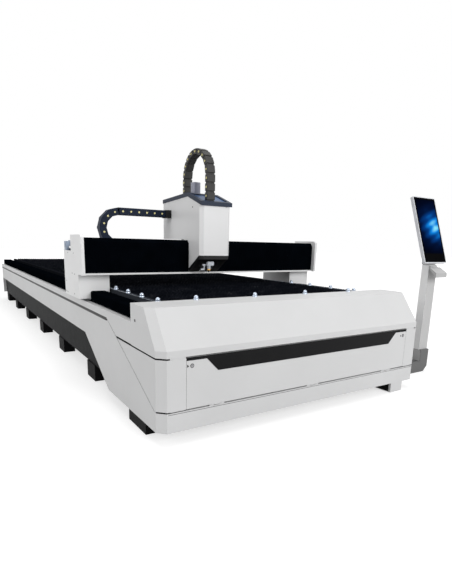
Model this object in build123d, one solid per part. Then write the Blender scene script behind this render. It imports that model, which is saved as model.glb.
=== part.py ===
from build123d import *
import math
import os

# Bed frame used while modelling: X across the bed from its centreline, Y back from
# the front door, Z up from the floor. Everything is in millimetres.

# Driving sizes of the whole machine
BED_LENGTH = 9000.0
TABLE_OUT = 1160.0
BEAM_BOTTOM = 170.0
BEAM_HEIGHT = 630.0
GANTRY_FRONT = 1650.0
GANTRY_CLEARANCE = 280.0
HEAD_RISE = 598.0

# Sheet metal
SHEET = 3.0
PANEL_GAP = 4.0
SLIDE_CLEARANCE = 0.3
PIN_CLEARANCE = 0.05

# Slat table across the bed
TABLE_SIDE = 60.0
TABLE_CLEARANCE = 10.0
TABLE_IN = TABLE_OUT - TABLE_SIDE

# Welded side beams and the cross tubes between them
BEAM_WIDTH = 180.0
BEAM_WALL = 12.0
BEAM_IN = TABLE_OUT + TABLE_CLEARANCE
BEAM_OUT = BEAM_IN + BEAM_WIDTH
BEAM_TOP = BEAM_BOTTOM + BEAM_HEIGHT
POST_DEPTH = 90.0
CROSS_COUNT = 7
CROSS_WIDTH = 120.0
CROSS_WALL = 8.0
CROSS_UPPER_HEIGHT = 140.0
CROSS_LOWER_HEIGHT = 100.0
CROSS_LOWER_RISE = 20.0
CROSS_LOWER_BOTTOM = BEAM_BOTTOM + CROSS_LOWER_RISE

# Outline of the bed's panels
WALL_STANDOFF = 59.0
CORNER_CHAMFER = 59.0
CORNER_WIDTH = 208.0
BED_HALF_WIDTH = BEAM_OUT + WALL_STANDOFF

# Heights of the front: skirt, door, corner panels and hood
DOOR_SETDOWN = 543.0
DOOR_HEIGHT = 375.0
SKIRT_RISE = 71.0
SKIRT_DROP = 11.0
CORNER_PANEL_DROP = 4.0
HOOD_GAP = 8.0
HOOD_UPRIGHT = 49.0
HOOD_RISE = 160.0
HOOD_SLOPE = 196.0
HOOD_BACK = 510.0
HOOD_LIP = 80.0
DOOR_BOTTOM = BEAM_TOP - DOOR_SETDOWN
DOOR_TOP = DOOR_BOTTOM + DOOR_HEIGHT
SKIRT_BOTTOM = BEAM_BOTTOM - SKIRT_RISE
SKIRT_TOP = DOOR_BOTTOM - SKIRT_DROP
CORNER_PANEL_TOP = DOOR_TOP - CORNER_PANEL_DROP
HOOD_BOTTOM = DOOR_TOP + HOOD_GAP
HOOD_CREASE = HOOD_BOTTOM + HOOD_UPRIGHT
HOOD_TOP = BEAM_TOP + HOOD_RISE

# Side panels: the seam that falls from the wall seam to the front corner
WALL_RISE = 19.0
WALL_DEPTH = 68.0
SLOT_HEIGHT = 13.0
LOWER_PANEL_DEPTH = 251.0
SEAM_BEND_Y = 1092.0
SEAM_FRONT_Y = 71.0
LOWER_BEND_SETBACK = 735.0
SKIRT_END_SETBACK = 19.0
WALL_TOP = BEAM_TOP + WALL_RISE
WALL_SEAM = WALL_TOP - WALL_DEPTH
LOWER_PANEL_BOTTOM = WALL_SEAM - LOWER_PANEL_DEPTH
LOWER_BEND_Y = SEAM_BEND_Y + LOWER_BEND_SETBACK
SKIRT_END_Y = SEAM_BEND_Y + SKIRT_END_SETBACK

# Feet
FOOT_COUNT = 7
FOOT_FRONT_INSET = 30.0
FOOT_BACK_INSET = 300.0
FOOT_LENGTH = 280.0
FOOT_WIDTH = 92.0
FOOT_WALL = 10.0
FOOT_PLATE = 14.0
FOOT_PLATE_MARGIN = 12.0
ANCHOR_RADIUS = 9.0
FOOT_FIRST_Y = HOOD_BACK - FOOT_FRONT_INSET
FOOT_LAST_Y = BED_LENGTH - FOOT_BACK_INSET

# Front frame, door and locks
DOOR_DEPTH = 20.0
DOOR_CLEARANCE = 4.0
POST_WIDTH = 120.0
HINGE_Y = 2.0
HINGE_DROP = 4.5
KNUCKLE_RADIUS = 3.0
PIN_RADIUS = 1.5
KNUCKLE_LENGTH = 40.0
HINGE_COUNT = 3
HINGE_INSET = 251.0
STRIPE_THICKNESS = 2.0
STRIPE_THIN = 22.0
STRIPE_TALL = 121.0
STRIPE_TOP_INSET = 161.0
STRIPE_SLANT = 95.0
LOCK_INSET = 44.0
LOCK_DROP = 61.0
LOCK_RADIUS = 11.0
LOCK_CAM = 55.0
LOCK_CAM_WIDTH = 16.0
DOOR_HALF_WIDTH = BED_HALF_WIDTH - CORNER_WIDTH
HINGE_Z = DOOR_BOTTOM - HINGE_DROP
HINGE_SPREAD = DOOR_HALF_WIDTH - HINGE_INSET
STRIPE_TOP_HALF = DOOR_HALF_WIDTH - STRIPE_TOP_INSET
STRIPE_LOW_HALF = STRIPE_TOP_HALF - STRIPE_SLANT
LOCK_X = DOOR_HALF_WIDTH - LOCK_INSET
LOCK_Z = DOOR_TOP - LOCK_DROP

# Slat table along the bed
TABLE_FRAME_HEIGHT = 60.0
TABLE_FRONT_GAP = 20.0
TABLE_BACK_GAP = 40.0
BEARER_HEIGHT = 60.0
BEARER_WIDTH = 10.0
BEARER_INSET = 90.0
SLAT_HEIGHT = 90.0
SLAT_THICKNESS = 5.0
SLAT_INSET = 72.0
SLAT_PITCH = 105.0
SLAT_TEETH = 6
SLAT_TOOTH_DEPTH = 18.0
SLAT_START_GAP = 45.0
EDGE_BAR_HEIGHT = 136.0
EDGE_BAR_WIDTH = 48.0
EDGE_BAR_SHEET = 6.0
TRAY_COUNT = 4
TRAY_SHEET = 4.0
TRAY_HEIGHT = 180.0
TRAY_MARGIN = 20.0
TABLE_START = HOOD_BACK + TABLE_FRONT_GAP
TABLE_END = BED_LENGTH - TABLE_BACK_GAP
BEARER_X = TABLE_OUT - BEARER_INSET
SLAT_HALF = TABLE_OUT - SLAT_INSET
SLAT_FIRST_Y = TABLE_START + SLAT_START_GAP
EDGE_BAR_TOP = BEAM_TOP + EDGE_BAR_HEIGHT

# Ball transfer units
BALL_RADIUS = 18.0
BALL_HOUSING_RADIUS = 23.0
BALL_HOUSING_HEIGHT = 13.0
BALL_PROUD = 20.0
BALL_CLEARANCE = 0.3
BALL_SIDES = 12
BALL_RINGS = 6
SIDE_BALL_INSET = 29.0
SIDE_BALL_PITCH = 340.0
SIDE_BALL_START = 110.0
SIDE_BALL_COUNT = 4
FRONT_BALL_SETBACK = 28.0
FRONT_BALL_COUNT = 4
SIDE_BALL_X = TABLE_OUT - SIDE_BALL_INSET
SIDE_BALL_FIRST = TABLE_START + SIDE_BALL_START
FRONT_BALL_Y = HOOD_BACK - FRONT_BALL_SETBACK
FRONT_BALL_PITCH = TABLE_OUT / 2

# Travel guides along the bed
RAIL_INSET = 92.0
RAIL_WIDTH = 34.0
RAIL_HEIGHT = 28.0
RACK_WIDTH = 30.0
RACK_HEIGHT = 38.0
RACK_INSET = 7.0
GUIDE_FRONT_GAP = 10.0
RAIL_X = BEAM_OUT - RAIL_INSET
RACK_OUT = BEAM_OUT - RACK_INSET
GUIDE_START = HOOD_BACK + GUIDE_FRONT_GAP

# Bellows
BELLOWS_OVERHANG = 10.0
BELLOWS_WIDTH = 155.0
BELLOWS_HEIGHT = 98.0
BELLOWS_WALL = 10.0
PLEAT_DEPTH = 7.0
FRONT_PLEATS = 20
REAR_PLEATS = 60
X_BELLOWS_DROP = 24.0
X_BELLOWS_CHAMFER = 34.0
X_BELLOWS_DEPTH = 112.0
X_PLEATS_LEFT = 18
X_PLEATS_RIGHT = 23
BELLOWS_END_GAP = 0.5
BELLOWS_OUT = BEAM_OUT + BELLOWS_OVERHANG
BELLOWS_IN = BELLOWS_OUT - BELLOWS_WIDTH
BELLOWS_BOTTOM = WALL_TOP + SHEET
BELLOWS_TOP = BELLOWS_BOTTOM + BELLOWS_HEIGHT

# Gantry
GANTRY_OVERHANG = 61.0
END_PLATE = 30.0
COVER_DEPTH = 140.0
BEAM_DEPTH = 200.0
GANTRY_BEAM_HEIGHT = 240.0
GANTRY_WALL = 10.0
END_PLATE_RISE = 135.0
END_PLATE_REACH = 50.0
END_PLATE_CHAMFER = 22.0
LEG_WIDTH = 260.0
FOOT_PLATE_RISE = 62.0
FOOT_PLATE_THICKNESS = 25.0
CARRIAGE_RISE = 45.0
CARRIAGE_GAP = 12.0
CARRIAGE_SETBACK = 93.0
CARRIAGE_LENGTH = 557.0
CARRIAGE_SIDE_DROP = 20.0
CARRIAGE_SHEET = 4.0
Y_BLOCK_LENGTH = 120.0
Y_BLOCK_WIDTH = 100.0
Y_BLOCK_INSET = 80.0
Y_MOTOR_INSET = 60.0
Y_GEARBOX = 100.0
Y_MOTOR = 96.0
Y_GEARBOX_HEIGHT = 120.0
Y_MOTOR_RISE = 80.0
PINION_RADIUS = 32.0
PINION_TEETH = 16
PINION_TOOTH = 5.0
PINION_HEIGHT = 24.0
PINION_SHAFT = 12.0
PINION_GAP = 0.3
WALL_CLEARANCE = 4.0
GANTRY_HALF = BED_HALF_WIDTH + GANTRY_OVERHANG
BEAM_END = GANTRY_HALF - END_PLATE
BEAM_FRONT = GANTRY_FRONT + COVER_DEPTH
GANTRY_BEAM_BOTTOM = BEAM_TOP + GANTRY_CLEARANCE
GANTRY_BEAM_TOP = GANTRY_BEAM_BOTTOM + GANTRY_BEAM_HEIGHT
END_PLATE_TOP = GANTRY_BEAM_TOP + END_PLATE_RISE
END_PLATE_FRONT = GANTRY_FRONT - END_PLATE_REACH
LEG_INNER = BEAM_END - LEG_WIDTH
FOOT_PLATE_BOTTOM = BEAM_TOP + FOOT_PLATE_RISE
CARRIAGE_BOTTOM = BEAM_TOP + CARRIAGE_RISE
CARRIAGE_INNER = LEG_INNER - CARRIAGE_GAP
CARRIAGE_FRONT = GANTRY_FRONT + CARRIAGE_SETBACK
CARRIAGE_BACK = CARRIAGE_FRONT + CARRIAGE_LENGTH
CARRIAGE_SIDE_TOP = GANTRY_BEAM_TOP - CARRIAGE_SIDE_DROP
Y_MOTOR_Y = CARRIAGE_BACK - Y_MOTOR_INSET
Y_MOTOR_TOP = GANTRY_BEAM_TOP + Y_MOTOR_RISE
X_BELLOWS_TOP = END_PLATE_TOP - X_BELLOWS_DROP

# Cross travel guides on the gantry beam
X_RAIL_LOW_RISE = 70.0
X_RAIL_HIGH_DROP = 40.0
X_RAIL_HEIGHT = 20.0
X_RAIL_DEPTH = 22.0
X_RACK_WIDTH = 30.0
X_RACK_HEIGHT = 25.0
X_RACK_SETBACK = 5.0
LEDGE_LIP = 17.0
LEDGE_REACH = 10.0
X_RAIL_LOW = GANTRY_BEAM_BOTTOM + X_RAIL_LOW_RISE
X_RAIL_HIGH = GANTRY_BEAM_TOP - X_RAIL_HIGH_DROP

# Outline of the cutting head's cover
HEAD_LEFT = -328.0
HEAD_WIDTH = 358.0
HEAD_REACH = 260.0
HEAD_DEPTH = 900.0
HEAD_UNDER = 198.0
HEAD_FRONT_FALL = 101.0
HEAD_BACK_FALL = 36.0
HEAD_RIDGE_SETBACK = 290.0
HEAD_CHAMFER = 34.0
HEAD_NOSE = 42.0
HEAD_SLANT_LENGTH = 218.0
HEAD_SLANT_DROP = 140.0
HEAD_TAIL_LENGTH = 40.0
HEAD_TAIL_DROP = 26.0
HEAD_NOTCH_GAP = 26.0
HEAD_NOTCH_DROP = 15.0
HEAD_RIGHT = HEAD_LEFT + HEAD_WIDTH
HEAD_FRONT = GANTRY_FRONT - HEAD_REACH
HEAD_BACK = HEAD_FRONT + HEAD_DEPTH
HEAD_BOTTOM = GANTRY_BEAM_BOTTOM + HEAD_UNDER
HEAD_RIDGE = HEAD_BOTTOM + HEAD_RISE
HEAD_EAVE_FRONT = HEAD_RIDGE - HEAD_FRONT_FALL
HEAD_EAVE_BACK = HEAD_RIDGE - HEAD_BACK_FALL
HEAD_RIDGE_Y = HEAD_FRONT + HEAD_RIDGE_SETBACK
HEAD_SLANT_START = HEAD_FRONT + HEAD_NOSE
HEAD_SLANT_END = HEAD_SLANT_START + HEAD_SLANT_LENGTH
HEAD_LOW = HEAD_BOTTOM - HEAD_SLANT_DROP
HEAD_TAIL_LOW = HEAD_LOW - HEAD_TAIL_DROP
HEAD_TAIL_START = HEAD_SLANT_END + HEAD_TAIL_LENGTH
HEAD_NOTCH_Y = BEAM_FRONT - HEAD_NOTCH_GAP
HEAD_NOTCH_TOP = END_PLATE_TOP - HEAD_NOTCH_DROP

# Cap and bottom plate of the head
CAP_THICKNESS = 40.0
CAP_OVERHANG = 9.0
CAP_RECESS = 12.0
CAP_RIM = 34.0
BOTTOM_PLATE = 38.0
BOTTOM_PLATE_INSET = 1.5
HEAD_OPENING_HALF = 62.0

# Saddle, drives and lift inside the head
SADDLE_LEFT_MARGIN = 28.0
SADDLE_RIGHT_MARGIN = 30.0
SADDLE_GAP = 50.0
SADDLE_THICKNESS = 18.0
SADDLE_FOOT = 7.0
SADDLE_TOP_DROP = 34.0
SHELF_RISE = 30.0
SHELF_THICKNESS = 20.0
SHELF_REACH = 185.0
RIB_THICKNESS = 14.0
LUG_HEIGHT = 60.0
MOTOR_PLATE = 12.0
X_BLOCK_LENGTH = 90.0
X_BLOCK_HALF = 30.0
X_BLOCK_OFFSET = 105.0
X_GEARBOX = 90.0
X_GEARBOX_HEIGHT = 80.0
X_MOTOR_HEIGHT = 200.0
Z_SCREW_OFFSET = 76.0
Z_SCREW_GAP = 21.0
Z_SCREW_RADIUS = 10.0
Z_BEARING_HEIGHT = 15.0
Z_MOTOR = 80.0
Z_MOTOR_HEIGHT = 169.0
Z_RAIL_OFFSET = 110.0
Z_RAIL_WIDTH = 15.0
Z_RAIL_DEPTH = 15.0
Z_RAIL_MARGIN = 42.0
Z_PLATE_HALF = 135.0
Z_PLATE_MARGIN = 60.0
Z_PLATE_HEIGHT = 400.0
Z_PLATE_GAP = 37.0
Z_PLATE_THICKNESS = 22.0
Z_BLOCK_HEIGHT = 60.0
HEAD_X = (HEAD_LEFT + HEAD_RIGHT) / 2
SADDLE_LEFT = HEAD_LEFT + SADDLE_LEFT_MARGIN
SADDLE_RIGHT = HEAD_RIGHT - SADDLE_RIGHT_MARGIN
SADDLE_BACK = BEAM_FRONT - SADDLE_GAP
SADDLE_FRONT = SADDLE_BACK - SADDLE_THICKNESS
SADDLE_BOTTOM = HEAD_TAIL_LOW - SADDLE_FOOT
SADDLE_TOP = HEAD_RIDGE - SADDLE_TOP_DROP
SHELF_BOTTOM = GANTRY_BEAM_TOP + SHELF_RISE
SHELF_TOP = SHELF_BOTTOM + SHELF_THICKNESS
SHELF_BACK = SADDLE_BACK + SHELF_REACH
X_MOTOR_TOP = SHELF_TOP + X_GEARBOX_HEIGHT + X_MOTOR_HEIGHT
Z_SCREW_X = HEAD_X - Z_SCREW_OFFSET
Z_SCREW_Y = SADDLE_FRONT - Z_SCREW_GAP
Z_MOTOR_TOP = SADDLE_TOP + MOTOR_PLATE + Z_MOTOR_HEIGHT
Z_RAIL_BOTTOM = HEAD_LOW + Z_RAIL_MARGIN
Z_RAIL_TOP = SADDLE_TOP - Z_RAIL_MARGIN
Z_PLATE_BOTTOM = Z_RAIL_BOTTOM + Z_PLATE_MARGIN
Z_PLATE_TOP = Z_PLATE_BOTTOM + Z_PLATE_HEIGHT
Z_PLATE_BACK = SADDLE_FRONT - Z_PLATE_GAP
HEAD_PLATE_Y = Z_PLATE_BACK - Z_PLATE_THICKNESS

# Cutting head
TORCH_SETBACK = 145.0
NOZZLE_RADIUS = 14.0
NOZZLE_TIP_RADIUS = 4.0
NOZZLE_HEIGHT = 22.0
NOZZLE_BORE = 1.5
CERAMIC_RADIUS = 22.0
CERAMIC_HEIGHT = 14.0
SENSOR_RADIUS = 27.0
SENSOR_HEIGHT = 34.0
TORCH_BODY_HALF = 45.0
TORCH_BODY_HEIGHT = 300.0
COLLIMATOR_RADIUS = 38.0
COLLIMATOR_HEIGHT = 130.0
CONNECTOR_RADIUS = 20.0
CONNECTOR_HEIGHT = 60.0
DRAWER_HEIGHT = 18.0
DRAWER_HALF = 30.0
DRAWER_DEPTH = 70.0
DRAWER_LIP = 6.0
DRAWER_RISE = 16.0
TORCH_Y = HEAD_FRONT + TORCH_SETBACK
TORCH_TIP = HEAD_LOW - BOTTOM_PLATE
CERAMIC_BOTTOM = TORCH_TIP + NOZZLE_HEIGHT
SENSOR_BOTTOM = CERAMIC_BOTTOM + CERAMIC_HEIGHT
BODY_BOTTOM = SENSOR_BOTTOM + SENSOR_HEIGHT
BODY_TOP = BODY_BOTTOM + TORCH_BODY_HEIGHT

# Cable chains
X_LINK_PITCH = 90.0
X_LINK_HEIGHT = 76.0
X_LINK_WIDTH = 100.0
X_LINK_WALL = 9.0
X_LOOP_LINKS = 6
X_UPPER_LINKS = 6
X_LOWER_LINKS = 8
X_TRAY_SETBACK = 105.0
X_TRAY_SHEET = 6.0
X_TRAY_LIP = 16.0
X_CHAIN_MARGIN = 2.0
X_BRACKET_LENGTH = 67.0
Z_LINK_PITCH = 86.0
Z_LINK_HEIGHT = 54.0
Z_LINK_WIDTH = 90.0
Z_LINK_WALL = 7.0
Z_LOOP_LINKS = 9
Z_BACK_LINKS = 2
Z_FRONT_LINKS = 4
Z_CHAIN_OFFSET = 41.0
Z_CHAIN_SETBACK = 67.0
CHAIN_FOOT = 15.0
LINK_TAPER = 12.0
X_TRAY_START = BEAM_FRONT + X_TRAY_SETBACK
X_TRAY_BACK = Y_MOTOR_Y - Y_MOTOR / 2 - PANEL_GAP
X_CHAIN_FRONT = X_TRAY_BACK - X_TRAY_SHEET - X_CHAIN_MARGIN - X_LINK_WIDTH
X_CHAIN_END = HEAD_LEFT - X_BRACKET_LENGTH
Z_CHAIN_X = HEAD_X - Z_CHAIN_OFFSET
Z_CHAIN_FRONT_Y = HEAD_FRONT + Z_CHAIN_SETBACK

# Console beside the bed
POLE_STANDOFF = 585.0
POLE_WIDTH = 148.0
POLE_FRONT = 350.0
POLE_DEPTH = 88.0
POLE_TOP = 1222.0
POLE_WALL = 4.0
PLINTH_REACH = 225.0
PLINTH_STEP = 132.0
PLINTH_RISE = 130.0
PLINTH_CHAMFER = 62.0
PLINTH_OVERHANG = 25.0
PLINTH_DEPTH = 315.0
SCREEN_WIDTH = 400.0
SCREEN_HEIGHT = 755.0
SCREEN_LEAN = 19.0
SCREEN_THICKNESS = 34.0
SCREEN_BEZEL = 10.0
SCREEN_CORNER = 14.0
SCREEN_GLASS = 4.0
SCREEN_RISE = 26.0
SCREEN_OVERHANG = 32.0
TILT_RADIUS = 14.0
TILT_RISE = 150.0
TILT_STANDOFF = 46.0
TILT_HALF = 60.0
TILT_EAR = 16.0
TILT_PIN = 8.0
TRAY_PIVOT_DROP = 17.0
TRAY_PIVOT_RADIUS = 9.0
TRAY_PIVOT_PIN = 5.0
TRAY_HALF_WIDTH = 172.0
TRAY_REACH = 150.0
TRAY_DROP = 62.0
TRAY_LIP = 48.0
TRAY_CHEEK = 3.0
TRAY_EAR = 12.0
TRAY_SETBACK = 20.0
POLE_X = GANTRY_HALF + POLE_STANDOFF
PLINTH_LEFT = POLE_X - PLINTH_REACH
PLINTH_TOP = PLINTH_STEP + PLINTH_RISE
PLINTH_FRONT = POLE_FRONT - PLINTH_OVERHANG
PLINTH_BACK = PLINTH_FRONT + PLINTH_DEPTH
SCREEN_BOTTOM_Z = POLE_TOP + SCREEN_RISE
SCREEN_BOTTOM_Y = POLE_FRONT - SCREEN_OVERHANG
TRAY_PIVOT_Z = POLE_TOP - TRAY_PIVOT_DROP

# Exhaust collar
COLLAR_RADIUS = 125.0
COLLAR_LENGTH = 60.0
COLLAR_RISE = 280.0
COLLAR_Z = BEAM_BOTTOM + COLLAR_RISE

# Sizes that follow from several of the groups above
CONSOLE_RIGHT = POLE_X + SCREEN_WIDTH / 2
ORIGIN_X = (CONSOLE_RIGHT - GANTRY_HALF) / 2
ORIGIN_Y = (BED_LENGTH - STRIPE_THICKNESS) / 2
CROSS_UPPER_TOP = BEAM_TOP - TABLE_FRAME_HEIGHT
CROSS_UPPER_BOTTOM = CROSS_UPPER_TOP - CROSS_UPPER_HEIGHT
TRAY_FLOOR = CROSS_LOWER_BOTTOM + CROSS_LOWER_HEIGHT
SLAT_BOTTOM = BEAM_TOP + BEARER_HEIGHT
SLAT_TOP = SLAT_BOTTOM + SLAT_HEIGHT
SEAM_SLOPE = (WALL_SEAM - DOOR_BOTTOM) / (SEAM_BEND_Y - SEAM_FRONT_Y)
BEAM_BACK = BEAM_FRONT + BEAM_DEPTH
FOOT_PLATE_TOP = FOOT_PLATE_BOTTOM + FOOT_PLATE_THICKNESS
PINION_X = RACK_OUT + PINION_GAP + PINION_RADIUS
PINION_BOTTOM = WALL_TOP + WALL_CLEARANCE
X_RACK_FRONT = BEAM_FRONT + X_RACK_SETBACK
X_RACK_BACK = X_RACK_FRONT + X_RACK_WIDTH
X_PINION_Y = X_RACK_BACK + PINION_GAP + PINION_RADIUS
X_LOOP_RADIUS = X_LINK_PITCH / (2 * math.sin(math.pi / (2 * X_LOOP_LINKS)))
X_LOWER_Z = GANTRY_BEAM_TOP + X_TRAY_SHEET + X_LINK_HEIGHT / 2 + SLIDE_CLEARANCE
X_UPPER_Z = X_LOWER_Z + 2 * X_LOOP_RADIUS
X_LOOP_X = X_CHAIN_END - X_UPPER_LINKS * X_LINK_PITCH
Z_LOOP_RADIUS = Z_LINK_PITCH / (2 * math.sin(math.pi / (2 * Z_LOOP_LINKS)))
Z_CHAIN_BACK_Y = Z_CHAIN_FRONT_Y + 2 * Z_LOOP_RADIUS


def block(x0, x1, y0, y1, z0, z1):
    """Box between two corners."""
    centre = Pos((x0 + x1) / 2, (y0 + y1) / 2, (z0 + z1) / 2)
    return centre * Box(abs(x1 - x0), abs(y1 - y0), abs(z1 - z0))


def along_x(points, x0, x1):
    """Prism along X of an outline given as (y, z) points."""
    plane = Plane(origin=(x0, 0, 0), x_dir=(0, 1, 0), z_dir=(1, 0, 0))
    face = plane * make_face(Polyline(*points, close=True))
    return extrude(face, amount=x1 - x0, dir=(1, 0, 0))


def along_y(points, y0, y1):
    """Prism along Y of an outline given as (x, z) points."""
    plane = Plane(origin=(0, y0, 0), x_dir=(1, 0, 0), z_dir=(0, -1, 0))
    face = plane * make_face(Polyline(*points, close=True))
    return extrude(face, amount=y1 - y0, dir=(0, 1, 0))


def along_z(points, z0, z1):
    """Prism along Z of an outline given as (x, y) points."""
    face = Pos(0, 0, z0) * make_face(Polyline(*points, close=True))
    return extrude(face, amount=z1 - z0, dir=(0, 0, 1))


def post(x, y, z0, z1, radius):
    """Upright cylinder."""
    return Pos(x, y, (z0 + z1) / 2) * Cylinder(radius, z1 - z0)


def bar_x(x0, x1, y, z, radius):
    """Cylinder along X."""
    return Pos((x0 + x1) / 2, y, z) * Rot(0, 90, 0) * Cylinder(radius, x1 - x0)


def bar_y(x, y0, y1, z, radius):
    """Cylinder along Y."""
    return Pos(x, (y0 + y1) / 2, z) * Rot(90, 0, 0) * Cylinder(radius, y1 - y0)


def flip(shape):
    """The same piece on the other side of the centreline."""
    return mirror(shape, about=Plane.YZ)


def both(shape):
    """A left piece and its mirror image."""
    return [shape, flip(shape)]


def save(node, *pieces):
    """Moves pieces from the bed frame to the machine's own origin and writes them."""
    solids = [solid for piece in pieces for solid in piece.solids()]
    group = solids[0] if len(solids) == 1 else Compound(children=solids)
    export_step(Pos(-ORIGIN_X, -ORIGIN_Y, 0) * group, f"parts/{node}.step")


def seam_y(z, gap=0.0):
    """Where the falling side seam is at a height."""
    return SEAM_FRONT_Y + (z - DOOR_BOTTOM) / SEAM_SLOPE + gap


# Bed structure
def side_beam():
    """Left beam, a welded box open at its ends."""
    outer = block(-BEAM_OUT, -BEAM_IN, POST_DEPTH, BED_LENGTH - SHEET, BEAM_BOTTOM, BEAM_TOP)
    inner = block(
        -BEAM_OUT + BEAM_WALL,
        -BEAM_IN - BEAM_WALL,
        POST_DEPTH - 1,
        BED_LENGTH,
        BEAM_BOTTOM + BEAM_WALL,
        BEAM_TOP - BEAM_WALL,
    )
    return outer - inner


def cross_members():
    """Upper and lower tubes between the side beams."""
    first, last = FOOT_FIRST_Y, FOOT_LAST_Y
    step = (last - first) / (CROSS_COUNT - 1)
    tubes = []
    for i in range(CROSS_COUNT):
        y = first + i * step
        for low, high in (
            (CROSS_LOWER_BOTTOM, TRAY_FLOOR),
            (CROSS_UPPER_BOTTOM, CROSS_UPPER_TOP),
        ):
            half = CROSS_WIDTH / 2
            outer = block(-BEAM_IN, BEAM_IN, y - half, y + half, low, high)
            hollow = block(
                -BEAM_IN - 1,
                BEAM_IN + 1,
                y - half + CROSS_WALL,
                y + half - CROSS_WALL,
                low + CROSS_WALL,
                high - CROSS_WALL,
            )
            tubes.append(outer - hollow)
    return tubes


def foot(y):
    """Left foot: a channel open to the middle of the bed, with a diagonal gusset."""
    half = FOOT_LENGTH / 2
    out, inner = -BEAM_OUT, -BEAM_OUT + FOOT_WIDTH
    body = block(out, inner, y - half, y + half, FOOT_PLATE, BEAM_BOTTOM)
    pocket = block(
        out + FOOT_WALL,
        inner + 1,
        y - half + FOOT_WALL,
        y + half - FOOT_WALL,
        FOOT_PLATE,
        BEAM_BOTTOM - FOOT_WALL,
    )
    gusset = along_x(
        [
            (y - half, FOOT_PLATE),
            (y - half + 2 * FOOT_WALL, FOOT_PLATE),
            (y + half, BEAM_BOTTOM - 2 * FOOT_WALL),
            (y + half, BEAM_BOTTOM),
        ],
        out,
        inner - FOOT_WALL,
    )
    plate = block(
        out - FOOT_PLATE_MARGIN,
        inner + 3 * FOOT_PLATE_MARGIN,
        y - half,
        y + half,
        0,
        FOOT_PLATE,
    )
    hole = post(inner + 1.5 * FOOT_PLATE_MARGIN, y, -1, FOOT_PLATE + 1, ANCHOR_RADIUS)
    return body - pocket + gusset + plate - hole


def feet():
    step = (FOOT_LAST_Y - FOOT_FIRST_Y) / (FOOT_COUNT - 1)
    pieces = []
    for i in range(FOOT_COUNT):
        pieces += both(foot(FOOT_FIRST_Y + i * step))
    return pieces


# Sheet panels
def side_wall():
    """Left upper wall with its top flange and a fold that meets the beam."""
    out = -BED_HALF_WIDTH
    end = BED_LENGTH - SHEET
    low = HOOD_BOTTOM + PANEL_GAP
    outline = [
        (HOOD_BACK, WALL_TOP),
        (end, WALL_TOP),
        (end, WALL_SEAM),
        (SEAM_BEND_Y, WALL_SEAM),
        (seam_y(low), low),
        (HOOD_BACK, low),
    ]
    skin = along_x(outline, out, out + SHEET)
    flange = block(out, -BELLOWS_OUT - 2, HOOD_BACK, end, WALL_TOP - SHEET, WALL_TOP)
    fold_z = WALL_SEAM + PANEL_GAP
    fold = block(out, -BEAM_OUT, HOOD_BACK, end, fold_z, fold_z + SHEET)
    return skin + flange + fold


def lower_panel():
    """Left side panel, level at the back and swept down to the skirt in front."""
    out = -BED_HALF_WIDTH
    end = BED_LENGTH - SHEET
    top = WALL_SEAM - SLOT_HEIGHT
    front_z = DOOR_BOTTOM + (CORNER_CHAMFER - PANEL_GAP - SEAM_FRONT_Y) * SEAM_SLOPE
    outline = [
        (end, top),
        (seam_y(top, PANEL_GAP), top),
        (CORNER_CHAMFER, front_z),
        (CORNER_CHAMFER, SKIRT_BOTTOM),
        (SKIRT_END_Y, SKIRT_BOTTOM),
        (LOWER_BEND_Y, LOWER_PANEL_BOTTOM),
        (end, LOWER_PANEL_BOTTOM),
    ]
    skin = along_x(outline, out, out + SHEET)
    folds = [
        block(out, -BEAM_OUT, LOWER_BEND_Y, end, z, z + SHEET)
        for z in (LOWER_PANEL_BOTTOM, top - SHEET)
    ]
    return skin + folds[0] + folds[1]


def corner_panel():
    """Left front corner: the strip beside the door, the chamfer and a side gusset."""
    out, edge = BED_HALF_WIDTH, BED_HALF_WIDTH - CORNER_CHAMFER
    inset = SHEET * math.tan(math.radians(22.5))
    back = seam_y(CORNER_PANEL_TOP)
    door_side = DOOR_HALF_WIDTH + DOOR_CLEARANCE / 2
    plan = [
        (-out, back),
        (-out, CORNER_CHAMFER),
        (-edge, 0),
        (-door_side, 0),
        (-door_side, SHEET),
        (-edge + inset, SHEET),
        (-out + SHEET, CORNER_CHAMFER + inset),
        (-out + SHEET, back),
    ]
    shell = along_z(plan, DOOR_BOTTOM, CORNER_PANEL_TOP)
    behind = along_x(
        [
            (seam_y(DOOR_BOTTOM), DOOR_BOTTOM - 1),
            (seam_y(CORNER_PANEL_TOP + 1), CORNER_PANEL_TOP + 1),
            (back + SHEET, CORNER_PANEL_TOP + 1),
            (back + SHEET, DOOR_BOTTOM - 1),
        ],
        -out - 1,
        -out + 2 * SHEET,
    )
    return shell - behind


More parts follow.
